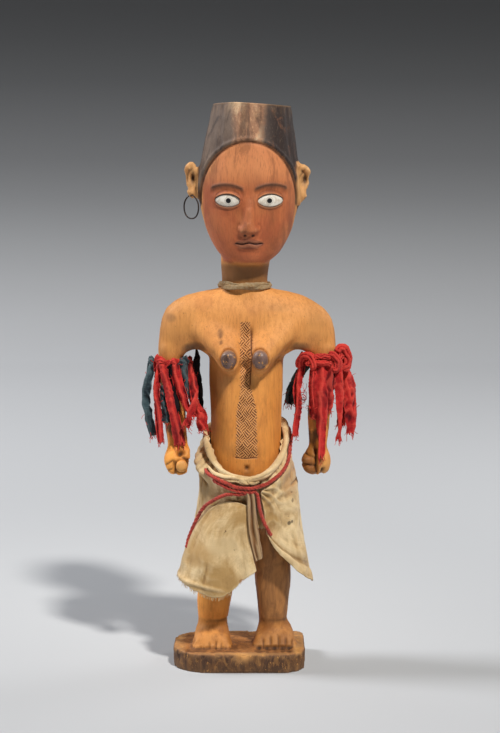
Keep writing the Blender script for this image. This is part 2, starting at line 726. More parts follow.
# %% Feet and navel
# Each foot: its middle, the gaps between its toes, their depth, its top, where the toes start, and how
# dark and how undercut they are.
FEET = [
    (-20.6, [-27.2, -22.4, -17.4, -13.2, -9.4], 0.85, 21.5, -14.5, 0.62, 0.25),
    (27.1, [18.4, 24.0, 29.9, 35.3, 40.3], 1.6, 25, -11, 0.8, 1),
]
TOE_TOPS = [2.4, 0.6, 0, 1.2, 2.8]
TOE_DEPTHS = [1.2, 0.9, 1.15, 0.75, 0.9]
for foot_x, gaps, deep, top, start, grime, hollow_under in FEET:
    toes = ramp(start, start - 3, y) * ramp(BASE_TOP + 0.2, BASE_TOP + 1.2, z)
    for k, (gap, lower, deeper) in enumerate(zip(gaps, TOE_TOPS, TOE_DEPTHS)):
        fan = (y + 18) * 0.04 * (k - 2)
        where = bell(x - gap - fan, 0.66) * toes * ramp(top - lower, top - lower - 3.5, z)
        push -= deep * deeper * where
        dirt = most(dirt, where * grime)
    for a, b in zip([gaps[0] - 6.5, *gaps], gaps):
        under = bell((x - (a + b) / 2) / (b - a), 0.36) * bell(z - BASE_TOP - 1, 0.8)
        under = under * ramp(start - 2, start - 4, y) * hollow_under
        push -= 1.6 * under
        dirt = most(dirt, under)
    by_foot = np.abs(x - foot_x) < 18
    ankle = bell(z - 33.4 - 0.05 * (x - foot_x), 0.75) * ramp(4, -2, y) * by_foot
    push -= 0.7 * ankle
    contact = bell(z - BASE_TOP - 0.5, 0.9) * by_foot * ramp(0.9, 0.6, normals[:, 2]) * (np.abs(y) < 30)
    dirt = most(dirt, 0.62 * ankle, 0.6 * contact)
navel_x, navel_z = NAVEL
navel = bell(apart(*NAVEL), 1.9) * front
spikes = bell(np.abs(x - navel_x) - 0.8 * np.abs(z - navel_z), 0.6) * bell(apart(*NAVEL), 3.6) * front
push -= 1.7 * navel + 0.5 * spikes
stain = bell(apart(navel_x + 0.4, navel_z - 3.6, 1.2), 3.0) * front
dirt = most(dirt, navel, 0.8 * spikes, 0.5 * stain)

# %% Knife facets, the worn base and the cracks
body = (z > 17) * (1 - masks["cap"]) * (1 - front * (z > 305) * (z < 400) * 0.8)
push += (0.34 * grain_noise(13, 5, (1, 1, 0.5)) + 0.16 * grain_noise(5, 9, (1, 1, 0.4))) * body
plate = ramp(16.2, 14.6, z)
rough = grain_noise(8, 21, (1, 1, 1.6)) + 0.6 * grain_noise(3, 8)
outer = most(np.abs(x) / 50, np.abs(y) / 38.5)
rim = bell(z - 15, 1.8) * ramp(0.8, 0.88, outer)
side_cuts = np.abs(grain_noise(4.5, 14, (1, 1, 0.3)))
push += plate * ramp(0.6, 2.2, z) * (0.5 * rough - 0.1 - 0.5 * bell(side_cuts, 0.07) * (normals[:, 2] < 0.5))
push -= rim * 1.3 * ramp(0.12, 0.5, rough)
chip = bell(x - 3.5, 6) * bell(z - 14, 4) * ramp(-33, -37, y)
push -= 1.7 * chip
top_face = ramp(14.2, 14.9, z) * (z < 16.5)
push -= 0.9 * top_face * ramp(0.9, 0.72, outer + 0.05 * rough)
masks["chip"] = np.clip(chip + rim * ramp(0.15, 0.55, rough), 0, 1)
masks["pale_rim"] = np.clip(top_face * (1 - ramp(0.93, 0.76, outer + 0.05 * rough)), 0, 1)
masks["dirt"] = np.clip(dirt, 0, 1)
# Each crack: from where to where, its width and its depth.
CRACKS = [((-14.2, 257), (-13.6, 252), 0.7, 0.6), ((-13, 250.5), (-13.2, 247.5), 0.4, 0.3)]
for a, b, width, deep in CRACKS:
    where = groove(a, b, width) * (y < 0)
    push -= deep * where
    masks["dirt"] = most(masks["dirt"], where * 0.8)
print("chipped corners:", int((masks["chip"] > 0.5).sum()))

# %% The corners move, and the hollows and edges are found
places = places + normals * push[:, None]
places[:, 1] += back
places[:, 0] += (x - rim_x) * rim_shift
places[:, 1] += (y - 1.8) * rim_shift
places[:, 2] -= np.interp(x, [-20, -12, -3, 8, 20, 38.5], [1.3, 0.5, 0, 0.6, 1.4, 3.0]) * ramp(398, 424, z)
places[:, 2] = np.where(z < 0.9, 0.0, np.maximum(places[:, 2], 0))
size = len(places)
count = np.bincount(ends.ravel(), minlength=size)
first, second = places[ends[:, 0]], places[ends[:, 1]]
total = np.stack([at_corners(ends, (second[:, k], first[:, k]), size) for k in range(3)], axis=1)
spread = np.linalg.norm(first - second, axis=1)
reach = at_corners(ends, (spread, spread), size)
lean = ((total / count[:, None] - places) * normals).sum(axis=1) / (reach / count) ** 1.4
masks["hollow"] = np.clip(averaged(np.clip(lean * 3.2, -1, 1), ends, 2), 0, 1)
masks["edge"] = np.clip(averaged(np.clip(-lean * 3.2, -1, 1), ends, 2), 0, 1)
carving.data.vertices.foreach_set("co", (places * MM).ravel())
for name, values in masks.items():
    keep(carving.data, name, values)
carving.data.polygons.foreach_set("use_smooth", [True] * len(carving.data.polygons))
carving.data.update()
stand_for(carving, "figure")
print("carving:", sum(len(f.vertices) - 2 for f in carving.data.polygons), "triangles")

# %% [markdown]
# ## Inlaid eyes
# Each eye is a piece of white shell or china let into the wood. It is a thin almond with a soft crown,
# so it is a disc that is pulled to an almond outline and then raised in the middle. The dark pupil is
# only colour.

# %% Eyes
HEAD = [
    (304.9, 7.5, -15, 9, 10, 2), (307.5, 7.5, -13.5, 15.5, 15, 2.05), (313.5, 7.5, -10, 23, 20.5, 2.1),
    (323.2, 7.5, -6, 29, 26.5, 2.1), (333.1, 7.5, -2.5, 33.2, 31, 2.1), (346.75, 7.5, 0, 35.5, 34, 2.1),
    (362.75, 7.5, 1, 35.8, 35, 2.1), (376.75, 7.8, 1.5, 35, 34.6, 2.1), (390.75, 8, 1.6, 33.2, 33, 2.1),
]
EYE_HALF = 9.2


def head_front(px, pz):
    """How far forward the head's surface is at a place seen from the front"""
    _, cx, cy, a, b, n = at(HEAD, pz)
    share = min(0.999, abs((px - cx) / a))
    return cy - b * (1 - share ** n) ** (1 / n)


def inlay(name, eye_x, eye_z, node):
    """Almond of white inlay, crowned in front and closed behind"""
    side = 1 if eye_x > FACE_X else -1

    def place(u, v):
        across = (2 * u - 1) * EYE_HALF
        round_off = 1 - (across / EYE_HALF) ** 2
        px = eye_x + side * across
        pz = eye_z + 0.02 * across + 4.25 * max(0, round_off) ** 0.75 * (2 * v - 1)
        crown = round_off * (1 - (2 * v - 1) ** 2)
        return px, head_front(px, pz) + 1.25 - 0.9 * crown, pz

    piece = shaped_grid(name, (0.018, 0.009), (44, 20), place, 1.5)
    stand_for(piece, node)
    return piece


inlays = [inlay("inlay_right", *EYES[0], "eye_right"), inlay("inlay_left", *EYES[1], "eye_left")]
print("inlay faces:", [len(i.data.polygons) for i in inlays])

# %% [markdown]
# ## Hoop
# A thin iron wire is bent to a ring and passed through the pierced lobe. Its two ends nearly meet, so it
# is a strand along an open circle, a little uneven as hand-bent wire is.

# %% Hoop
LOBE = (-35.6, 0, 355.4)
HOOP, WIRE = 8.7, 0.55
HOOP_HEADING = math.radians(-50)
wire = []
for step in range(97):
    turn = math.radians(-176 + 352 * step / 96)
    bent = HOOP + 0.12 * math.sin(3 * turn) + 0.08 * math.sin(5 * turn + 1)
    flat = bent * math.cos(turn - math.pi / 2 + 0.5)
    tall = bent * math.sin(turn - math.pi / 2 + 0.5)
    spot = Vector((flat * math.cos(HOOP_HEADING), flat * math.sin(HOOP_HEADING), tall - HOOP))
    wire.append((Vector(LOBE) + spot) * MM)
hoop = strands("wire_hoop", [wire], WIRE * MM, sides=3)
stand_for(hoop, "earring")
print("hoop faces:", len(hoop.data.polygons))

# %% [markdown]
# ## Necklace
# A narrow strip of cream cotton is twisted on itself and tied close round the neck. Two flat strands
# wind slowly round each other and cross in front, which a flat band would not show.

# %% Necklace
NECK = [
    (270, 4.4, 1, 21.3, 17), (284, 4.4, 0.5, 17.3, 16.4),
    (293, 4.4, 0, 17.3, 16.6), (306, 4.6, -1, 18.6, 17.4),
]
NECKLACE_HEIGHT = 288.4


def neck_strand(name, start, seed):
    """Flat folded strand that winds slowly as it goes round the neck"""

    def place(u, v):
        turn = 2 * math.pi * v
        wind = 2 * turn + start
        spin = 2 * math.pi * u
        crease = 0.2 * math.cos(4 * spin + 3 * wind) + 0.24 * soft_noise(math.cos(spin) * 1.3, v * 34, seed)
        tall = (1.85 + 0.3 * math.cos(turn + 1)) * (1 + crease) * math.sin(spin)
        deep = 0.95 * (1 + crease) * math.cos(spin)
        lean = 0.45 * math.cos(wind)
        height = NECKLACE_HEIGHT + 1.15 * math.sin(wind) + 0.4 * math.sin(turn + 2)
        height += tall * math.cos(lean) + deep * math.sin(lean)
        out = 1.45 + 0.75 * math.cos(wind) + deep * math.cos(lean) - tall * math.sin(lean)
        _, cx, cy, a, b = at(NECK, height)
        return cx + (a + out) * math.sin(turn), cy - (b + out) * math.cos(turn), height

    return shaped_grid(name, (0.009, 0.12), (16, 300), place)


two_strands = [neck_strand("strand_a", 0.4, 3), neck_strand("strand_b", 0.4 + math.pi, 8)]
necklace = join("twisted_necklace", two_strands)
stand_for(necklace, "necklace_cord")
print("necklace faces:", len(necklace.data.polygons))

# %% [markdown]
# ## Hip wrapper
# One long cream cotton cloth goes round the hips, rolled at the waist and held by the red cord. It hangs
# in four parts that show: the skirt round the back, a broad front flap, a side panel whose hem runs up
# to the front, and the narrow tied end between them. Each is cut flat as a grid and pinned to the
# wrapper's surface. A cloth simulation would pull the old, stiff cotton into soft even folds, which the
# real one hasn't got, so the folds are written by hand.

# %% Where the cloth lies
def above_cord(angle, z):
    return z - height_of(WAIST_CORD, angle)


def gathered(angle, z):
    """How far the cloth swells beside the cord, and dips beneath it"""
    off = above_cord(angle, z)
    return 2.3 * hump(off + 3.5, 6) - 1.0 * hump(off, 1.8) - 1.2 * hump(off - 4.2, 1.8)


def creases(angle, z, seed, size=1.0):
    broad = soft_noise(angle / 26 + seed, z / 30, seed)
    fine = soft_noise(angle / 9 + seed, z / 11, seed + 4)
    crumple = abs(soft_noise(angle / 15 - z / 30 + seed, z / 12 + angle / 40, seed + 9))
    return size * (1.3 * broad + 0.5 * fine - 1.1 * crumple + 0.35)


def drawn(angle, z, seed):
    """Small pleats that run down from the cord"""
    below = max(0.0, -above_cord(angle, z))
    return 0.75 * math.exp(-below / 8) * math.sin(angle * 0.55 + 2.8 * soft_noise(angle / 14, z / 25, seed))


def rays(angle, z, seed):
    """Folds that run out from the knot in front"""
    dx, dz = (angle - 12) * 0.58, z - 139
    reach = math.hypot(dx, dz)
    turn = math.atan2(dz, dx) * 6.5 + 2.2 * soft_noise(dx / 14, dz / 14, seed)
    ridge = 1 - 2 * abs(math.sin(turn)) ** 0.7
    return 1.15 * ridge * math.exp(-reach / 24) * min(1, reach / 7)


def hip_fold(angle, z):
    """Cloth that hangs over the cord at the right hip and hides it"""
    off = above_cord(angle, z)
    over = held((-50 - angle) / 7) * held((angle + 130) / 12)
    return over * (4.2 * hump(off + 1.0, 6.0) - 2.2 * hump(off + 11, 2.6))


# %% Skirt
SKIRT_CUT = (0.245, 0.1)
SKIRT_HEM = [
    (-180, 74), (-120, 76), (-92, 73), (-78, 84), (-60, 101), (-40, 108), (0, 110), (40, 108), (60, 92),
    (80, 76), (95, 68), (120, 74), (180, 74),
]
OUTERMOST = 5.5
COTTON = 0.7


def skirt_place(u, v):
    angle = (12 - 362 * u + 180) % 360 - 180
    low, high = height_of(SKIRT_HEM, angle), height_of(WAIST_EDGE, angle) - 1.5
    low += 0.9 * soft_noise(angle / 7, 2, 1) + 0.5 * math.sin(angle * 1.7)
    z = low + (high - low) * v
    out = -1.7 + gathered(angle, z) + creases(angle, z, 3, 1.2)
    out += drawn(angle, z, 1) + 0.6 * rays(angle, z, 9)
    out += 1.3 * (1 - v) * math.sin(angle * 0.115 + 0.8) * (0.4 + 0.6 * (abs(angle) > 95))
    out -= 2.0 * hump(angle + 84, 22) * hump(z - 104, 13)
    out -= 4.2 * hump(angle + 11, 19) * hump(z - 131, 8)
    out -= 0.8 * (u > 0.97)
    return on_cloth(angle, z, min(out, OUTERMOST) + hip_fold(angle, z))


skirt = shaped_grid("wrapper_skirt", SKIRT_CUT, (190, 56), skirt_place, COTTON)

# %% Front flap
FLAP_CUT = (0.058, 0.064)
FLAP_TOP = [(-37, 127.2), (-27, 129.0), (-12, 128.6), (1, 126.5)]
FLAP_RIGHT = [(15.5, 77.2), (10, 93), (5, 106), (2.5, 116), (1, 126.5)]
FLAP_LEFT = [
    (-86, 71), (-82, 77), (-77, 86), (-74, 94.5), (-67, 105), (-61, 113), (-51, 121.5), (-37, 127.2),
]
FLAP_LOW = [
    (-86, 71), (-66, 66.5), (-53, 62), (-44, 59), (-35, 57), (-26, 57.6), (-18, 60.5), (-10, 65),
    (-4, 69), (5, 73), (15.5, 77.2),
]


def flap_place(u, v):
    angle, z = patch(FLAP_TOP, FLAP_LOW, FLAP_LEFT, FLAP_RIGHT, u, v)
    z += (1 - v) ** 6 * (0.7 * soft_noise(u * 22, 0, 3) + 0.4 * soft_noise(u * 60, 1, 3))
    out = 0.5 + 3.4 * math.sin(math.pi * held(u)) ** 0.8 * math.sin(math.pi * min(1, v * 0.93 + 0.1)) ** 0.9
    out += creases(angle, z, 7, 0.75)
    out -= 1.6 * hump(v - 1, 0.05) * math.sin(math.pi * u)
    fold = (angle + 70) / 60
    out += 1.0 * hump(z - 69 + 9 * fold, 1.6) * (1 if angle < -30 else max(0, 1 - (angle + 30) / 12))
    out += 0.9 * hump(u - 0.93, 0.05) * (1 - v) + 1.6 * hump(u - 0.16, 0.11) * hump(v, 0.13)
    ripple = 0.7 * hump(u - 0.05, 0.03) - 0.6 * hump(u - 0.12, 0.03) + 0.6 * math.sin(5.2 * u + 3 * v)
    out += ripple * math.sin(math.pi * v)
    out -= 1.0 * hump(u - 0.28 - 0.2 * v, 0.035) * hump(v - 0.22, 0.2)
    return on_cloth(angle, z, out)


flap = shaped_grid("wrapper_front_flap", FLAP_CUT, (110, 110), flap_place, COTTON)

# %% Side panel with its folded hem
PANEL_CUT = (0.112, 0.085)
PANEL_TOP = [(17, 137.5), (34, 143.5), (52, 152), (72, 162), (96, 172), (124, 177), (152, 177)]
PANEL_LOW = [
    (29, 101), (36, 94), (43.5, 87.5), (51, 81.2), (59, 74.5), (70, 68.4), (83, 64), (90, 63.6),
    (102, 68), (122, 74), (152, 75),
]
PANEL_LEFT = [(29, 101), (25, 110), (21.5, 121), (18.5, 131), (17, 137.5)]
PANEL_RIGHT = [(152, 75), (152, 110), (152, 145), (152, 177)]


def panel_place(u, v):
    angle, z = patch(PANEL_TOP, PANEL_LOW, PANEL_LEFT, PANEL_RIGHT, u, v)
    z += (1 - v) ** 8 * 0.5 * soft_noise(u * 30, 0, 5)
    hem = 1.15 * held((0.105 - v) / 0.02) + 0.5 * hump(v - 0.05, 0.04) - 0.9 * hump(v - 0.13, 0.022)
    out = 0.75 + gathered(angle, z) + creases(angle, z, 12, 1.05) + drawn(angle, z, 6) + rays(angle, z, 4)
    out += 1.3 * hump((angle - 33 - (128 - z) * 0.5), 3.2) * hump(z - 122, 13)
    out -= 0.8 * hump(z - 150, 2) * hump(angle - 84, 12)
    out += hem * held((90 - angle) / 10)
    out += 1.4 * hump(angle - 86, 13) * (1 - v) ** 2 + 1.1 * hump(v - 0.2, 0.05) * hump(angle - 62, 20)
    out -= 1.8 * hump(z - 139.5 - (angle - 60) * 0.12, 1.1) * hump(angle - 78, 18)
    out += 0.8 * hump(z - 131 - (angle - 30) * 0.35, 2.2) * hump(angle - 34, 22)
    out -= 0.9 * held((angle - 120) / 30)
    return on_cloth(angle, z, min(out, OUTERMOST))


panel = shaped_grid("wrapper_side_panel", PANEL_CUT, (150, 90), panel_place, COTTON)

# %% Tied end
TIE_CUT = (0.013, 0.052)


def tie_place(u, v):
    t = 1 - v
    left = between([4.6, 5.4, 6.8, 9.6, 13.2], t * 4)
    right = between([9.6, 10.8, 13.2, 16.4, 18.2], t * 4)
    height = 137.5 - 51.5 * t + 2.2 * t * (u - 0.5)
    angle = math.degrees(math.atan2(left + (right - left) * u - 4.8, 32.5))
    out = 2.6 - 0.6 * t + 1.35 * math.sin(u * 9.5 + 2.2 * t + 1.5 * soft_noise(t * 3, 1, 2))
    out += 0.6 * soft_noise(u * 3, t * 6, 2) - 0.9 * hump(u - 0.42 - 0.2 * t, 0.09)
    return on_cloth(angle, height, out)


tie = shaped_grid("wrapper_tied_end", TIE_CUT, (26, 70), tie_place, 0.8)

# %% Rolled waist
def rolled(name, line, radius, turns, seed, open_ends=True):
    """Loose roll of cloth along a line of points in metres"""

    def size_of(spin, v):
        wound = spin + turns * 2 * math.pi * v
        fold = 0.16 * math.cos(2 * wound) + 0.07 * math.cos(3 * wound + 1)
        fold += 0.16 * soft_noise(math.cos(wound) * 1.1 + seed, math.sin(wound) * 1.1, v * 15)
        return radius * (1 + fold) * (min(1.0, 0.25 + 9 * min(v, 1 - v)) if open_ends else 1.0)

    return rings(name, [p / MM for p in line], 18, radius, size_of)


roll_spots = [(a, h - 2.4 + (1.2 if -25 < a < 25 else 0)) for a, h in WAIST_EDGE]
roll = rolled("wrapper_rolled_waist", route(roll_spots, 0.5, 260), 2.35, 3, 2, open_ends=False)
TUCK = [(-50, 155.5), (-40, 150.6), (-28, 148.6), (-15, 147.9), (-4, 145.4), (4, 142.6)]
TUCK_UNDER = [(-34, 147.4), (-22, 145.6), (-11, 145), (0, 142.4)]
TUCK_RIGHT = [(40, 155.6), (28, 151.4), (17, 148.6), (8, 147.6), (4, 145.2), (9, 143.4), (17, 144.6)]
tuck = rolled("wrapper_tucked_end", route(TUCK, 2.5, 110), 1.45, 1, 6)
tuck_under = rolled("wrapper_tucked_edge", route(TUCK_UNDER, 2.2, 80), 1.0, 1, 4)
tuck_right = rolled("wrapper_tucked_fold", route(TUCK_RIGHT, 2.3, 120), 1.35, 1, 9)
cloths = [skirt, flap, panel, tie, roll, tuck, tuck_under, tuck_right]

# %% Frayed hem
def some_way(chance, *spans):
    """Way to go, drawn by chance between a low and a high value on each axis"""
    return Vector([chance.uniform(*span) if isinstance(span, tuple) else span for span in spans])


def hair(start, heading, length, curl, chance):
    """A thread that leaves a torn edge and curls as it falls"""
    line = [start.copy()]
    way = heading.normalized()
    axis = some_way(chance, (-1, 1), (-1, 1), (-1, 1)).normalized()
    for _ in range(7):
        way = (way + way.cross(axis) * curl + Vector((0, 0, -0.12))).normalized()
        line.append(line[-1] + way * length / 7)
    return line


def hem_threads(name, place, count, seed):
    """Short threads that hang off a frayed lower edge"""
    chance = random.Random(seed)
    hairs = []
    for _ in range(count):
        u = chance.uniform(0.02, 0.97)
        start = (Vector(place(u, 0.0)) + Vector((0, 0, 0.6))) * MM
        heading = some_way(chance, (-0.22, 0.22), (-0.2, 0.1), -1)
        reach = chance.uniform(1.6, 3.8) * (1 if u < 0.62 else 0.5) * MM
        hairs.append(hair(start, heading, reach, chance.uniform(-0.18, 0.18), chance))
    return strands(name, hairs, HEM_THREAD * MM, sides=0)


HEM_THREAD, TORN_THREAD = 0.14, 0.19
fringe = hem_threads("frayed_hem", flap_place, 150, 4)
stand_for(fringe)
for piece in cloths:
    stand_for(piece, "hip_wrapper")
for piece in (skirt, flap, panel, tie):
    one_side = sum(face.area for face in piece.data.polygons) / 2
    print(piece.name, "area", round(one_side, 5), "m2,", len(piece.data.polygons), "faces")

# %% [markdown]
# ## Bands and torn strips on the arms
# Long strips of red and dark blue cotton are torn from a cloth, looped over a tied band, and left to
# hang. A torn strip is about 11 mm wide, but it hangs folded along its length and about 6 mm wide. Each
# one is a grid whose cross-section is that fold, swept down the strip's line with a slow twist, and its
# torn end is ragged.

# %% Tables of the strips
RIGHT_ARM = [
    (161, -45.6, -9, 7.4, 8), (167, -46, -8, 7.6, 8.2), (180, -47.5, -5, 8.3, 9),
    (200, -49.6, 0, 9, 9.6), (222, -51.4, 1, 9.4, 10.5), (243, -51.6, 0.5, 9.7, 13),
]
LEFT_ARM = [
    (161, 59.2, -9, 6.3, 7.4), (166, 59.4, -8, 6.2, 7.6), (176, 59.8, -6, 7.6, 8.6),
    (190, 60, -2, 8.8, 9.4), (216, 62.4, 1, 9.2, 10.4), (243, 64, 0.5, 9.5, 13),
]
TOP = 228.8
# Each strip: name, torn width, the widths it shows from top to bottom, and the places it hangs through.
RIGHT_STRIPS = [
    ("red_1", 11, [6.4, 6.4, 5.8, 5.4, 5.2, 4.6],
     [(-61, -9, TOP), (-62.4, -11, 212), (-61, -12, 196), (-58.6, -13, 171)]),
    ("red_2", 13, [12, 11, 7.2, 6.2, 7.2, 9.4],
     [(-57.5, -13, TOP), (-53, -15, 213), (-50, -16, 200), (-43.6, -17.5, 170)]),
    ("red_3", 11, [8.4, 8.2, 7.8, 6.8, 5.4],
     [(-48.5, -14, TOP), (-44.8, -16, 214), (-40.4, -16.8, 202), (-34.2, -17, 190)]),
    ("red_4", 11, [5.6, 5.4, 6.8, 6.4, 5, 5.4],
     [(-36.6, -4, TOP), (-33.6, -13, 212), (-34, -21, 202), (-40.2, -22.4, 184)]),
    ("red_5", 11, [5.4, 6.4, 7.6, 8.2, 7.4],
     [(-34.5, -3, 208), (-32.4, -7, 199), (-28, -10, 190), (-26.6, -11, 180)]),
    ("navy_1", 13, [7.6, 8.6, 8.8, 8.8, 8, 5.4],
     [(-66, -2, TOP), (-70.2, -3, 210), (-70.4, -4, 194), (-65, -5, 175)]),
    ("navy_2", 11, [8.6, 9, 8.4, 6.6, 4.6],
     [(-41.6, -10.6, TOP), (-39.6, -11, 217), (-38, -10.4, 206)]),
    ("navy_3", 11, [6.4, 7.6, 7.4, 6.4],
     [(-56.6, -10.4, 214), (-56, -11, 205), (-55.2, -11.8, 195), (-54.6, -13, 186.5)]),
    ("black_1", 16, [13.4, 13.8, 11, 7.6],
     [(-31.4, 3, TOP), (-30.2, 5, 214), (-29.2, 5, 202), (-29.6, 4, 190)]),
    ("black_2", 11, [8.6, 8.6, 8, 6.4],
     [(-50.4, -11.6, 228.6), (-48.8, -11.8, 218), (-47, -12.2, 206), (-45.6, -12.8, 194)]),
    ("red_6", 11, [7.6, 7.6],
     [(-51, 14, TOP), (-51, 16, 212), (-50, 14, 196), (-49, 12, 186)]),
]
LEFT_STRIPS = [
    ("red_1", 11, [8.4, 7.8, 5.8, 6.2, 5.4, 3.8],
     [(47.4, -7, TOP), (43.4, -9, 213), (44, -11, 196), (41.4, -11.5, 176)]),
    ("red_2", 11, [6.2, 5.2, 4.6, 4.6, 4.4],
     [(55.4, -13.5, TOP), (54.6, -14.6, 214), (55, -14.6, 200), (55.6, -13, 190)]),
    ("red_3", 13, [6.2, 6.4, 7.6, 10.2, 11, 8, 4.4],
     [(62.4, -14.5, TOP), (61, -18, 212), (60.6, -20, 190), (60.6, -24.4, 161)]),
    ("red_4", 11, [5.4, 6.4, 8, 8.4, 6.4],
     [(69.4, -12.5, TOP), (69, -15.5, 214), (68.4, -16, 204), (66.8, -14.5, 194)]),
    ("red_5", 11, [5.6, 6.2, 7, 7.6, 6.6, 5.6],
     [(75.6, -8, TOP), (76.4, -11, 210), (76, -12, 194), (75, -12, 173)]),
    ("red_6", 14, [6.4, 8.4, 11, 11.6, 10.4, 8.8],
     [(77.6, 1, TOP), (83.4, 0, 212), (84.6, -1, 196), (84.6, -2, 176)]),
    ("red_7", 14, [6.4, 8, 10, 10, 8],
     [(74, 11, TOP), (78, 14, 210), (78.6, 14, 196), (77, 13, 180)]),
    ("navy_1", 11, [7.6, 7.6],
     [(51, 10.5, TOP), (45, 14, 218), (39.6, 15, 206), (38.4, 15, 196)]),
    ("red_8", 11, [7.6, 7.6],
     [(63, 14.5, TOP), (64, 17, 210), (64, 16, 196), (63, 13, 184)]),
]

# %% One torn strip
RISES = {"black_1": 5.2, "black_2": 0.4, "navy_1": 3.0}


def torn_strip(side, name, torn_width, shown, points, arm, seed):
    """Strip of torn cloth, open where it is looped over the band and pleated along its length below"""
    first = Vector(points[0])
    _, cx, cy, _, _ = at(arm, first.z)
    inward = Vector((cx - first.x, cy - first.y, 0)).normalized()
    rise = RISES.get(name, 4.4 if side == "right" else 6.5)
    if first.z > 220:
        over_band = [(2.4, rise), (0.1, rise - 0.9)]
        points = [first + inward * reach + Vector((0, 0, up)) for reach, up in over_band] + points
    line = along(points, 110)
    length = length_of(line)
    chance = random.Random(seed)
    lean, sway, pleats = chance.uniform(-0.5, 0.5), chance.uniform(0, 9), chance.uniform(0.75, 1.25)
    bulk = chance.uniform(0.8, 1.3)

    def place(u, v):
        s = 1 - v
        t = s * (len(line) - 1)
        i = min(len(line) - 2, int(t))
        point = line[i].lerp(line[i + 1], t - i)
        way = (line[i + 1] - line[i]).normalized()
        _, ax, ay, _, _ = at(arm, point.z)
        away = Vector(((point.x - ax) * 0.5, point.y - ay - (5 if point.y < 5 else 0), 0)).normalized()
        flank = way.cross(away).normalized()
        face = flank.cross(way).normalized()
        twist = lean * s + 0.7 * s * math.sin(2.4 * s + sway)
        cosine, sine = math.cos(twist), math.sin(twist)
        flank, face = flank * cosine + face * sine, face * cosine - flank * sine
        share = between(shown, s * (len(shown) - 1)) / torn_width
        share = min(0.97, max(0.34, share + 0.09 * soft_noise(s * 6, seed, 2)))
        turn = share * torn_width
        wave = min(1.9, math.sqrt(2 * (1 / share ** 2 - 1)) * turn / (pleats * 2 * math.pi))
        flat = (u - 0.5) * turn
        fray = 0.64 * soft_noise(s * 60, u * 3, seed) * (abs(u - 0.5) > 0.44)
        drift = 2.6 * soft_noise(s * length / 16, seed, 7)
        deep = 0.85 * wave * math.cos(2 * math.pi * pleats * (u - 0.5) + drift)
        bowed = -1.5 * (2 * u - 1) ** 2 * (0.5 + 0.6 * math.sin(6 * s + seed))
        ridged = 1 - 2.6 * abs(soft_noise(flat / 4 + seed, s * length / 6.5, seed))
        crumple = bulk * (0.75 * ridged + 0.5 * soft_noise(flat / 1.7, s * length / 2.6, 3 + seed))
        wander = 1.1 * soft_noise(s * 4.2, seed, 5) * min(1, 5 * s)
        ragged = 3.2 * soft_noise(u * 8 + seed, 0, 1) + 2 * soft_noise(u * 33, seed, 1)
        ragged *= max(0, s - 0.93) / 0.07
        return point + flank * (wander + flat + fray) + face * (deep + bowed + crumple) + way * ragged

    size = (torn_width * MM, length * MM)
    piece = shaped_grid(f"torn_{side}_{name}", size, (22, max(40, round(length / 0.6))), place, 0.34)
    stand_for(piece, f"strip_{side}_{name}")
    return piece, size


torn = {"right": [], "left": []}
for side, arm, table, seed in [("right", RIGHT_ARM, RIGHT_STRIPS, 11), ("left", LEFT_ARM, LEFT_STRIPS, 14)]:
    for number, (name, torn_width, shown, points) in enumerate(table):
        torn[side].append(torn_strip(side, name, torn_width, shown, points, arm, seed + 7 * number))
print("strips:", {side: sum(len(p.data.polygons) for p, _ in made) for side, made in torn.items()})


# %% Loose threads
def threads(side, middle, seed):
    """Threads off the ends and edges of one arm's strips, and a few curly ones on their own"""
    chance = random.Random(seed)
    hairs = []
    for piece, _ in torn[side]:
        if "black" in piece.name:
            continue
        corners = sorted((v.co.copy() for v in piece.data.vertices), key=lambda c: c.z)
        for start in chance.sample(corners[: len(corners) // 30], 12):
            heading = some_way(chance, (-0.6, 0.6), (-0.5, 0.3), -1)
            reach, curl = chance.uniform(2, 6) * MM, chance.uniform(-0.5, 0.5)
            hairs.append(hair(start, heading, reach, curl, chance))
        for start in chance.sample(corners, 12):
            heading = some_way(chance, (-1, 1), (-1, 0.2), (-1, 0.4))
            reach, curl = chance.uniform(2, 5.5) * MM, chance.uniform(-0.6, 0.6)
            hairs.append(hair(start, heading, reach, curl, chance))
    for _ in range(26):
        start = (Vector(middle) + some_way(chance, (-3, 3), (-2, 2), (-9, 9))) * MM
        heading = some_way(chance, (-1, 1), (-0.4, 0.4), (-0.6, 0.6))
        reach, curl = chance.uniform(6, 11) * MM, chance.uniform(0.35, 0.6)
        hairs.append(hair(start, heading, reach, curl, chance))
    piece = strands(f"loose_threads_{side}", hairs, TORN_THREAD * MM, sides=0)
    stand_for(piece)
    return piece


loose = {"right": threads("right", (-34.5, -9, 200), 5), "left": threads("left", (47.6, -10, 203), 8)}
print("thread faces:", [len(piece.data.polygons) for piece in loose.values()])


# %% Arm bands
BAND_SQUARENESS = 2.3


def arm_band(side, arm, bunches, seed, middle, tall, fat):
    """Tied band round an arm, with the cloth bunched over it side by side"""

    def place(u, v):
        turn = 2 * math.pi * u
        ring = 2 * math.pi * v
        height = middle + tall * math.sin(ring)
        _, cx, cy, a, b = at(arm, height)
        loop = abs(math.sin(turn * bunches / 2 + 0.6 * math.sin(3 * turn + seed)))
        out = 1.3 + (0.55 + fat * loop ** 0.6) * math.cos(ring) + 0.35 * soft_noise(turn * 4, ring, seed)
        out += 0.3 * soft_noise(turn * 14, ring * 2, seed)
        n = BAND_SQUARENESS
        cut = 1 / (abs(math.cos(turn)) ** n + abs(math.sin(turn)) ** n) ** (1 / n)
        return cx + (a + out) * math.cos(turn) * cut, cy + (b + out) * math.sin(turn) * cut, height

    return shaped_grid(f"tied_band_{side}", (0.08, 0.02), (150, 24), place)


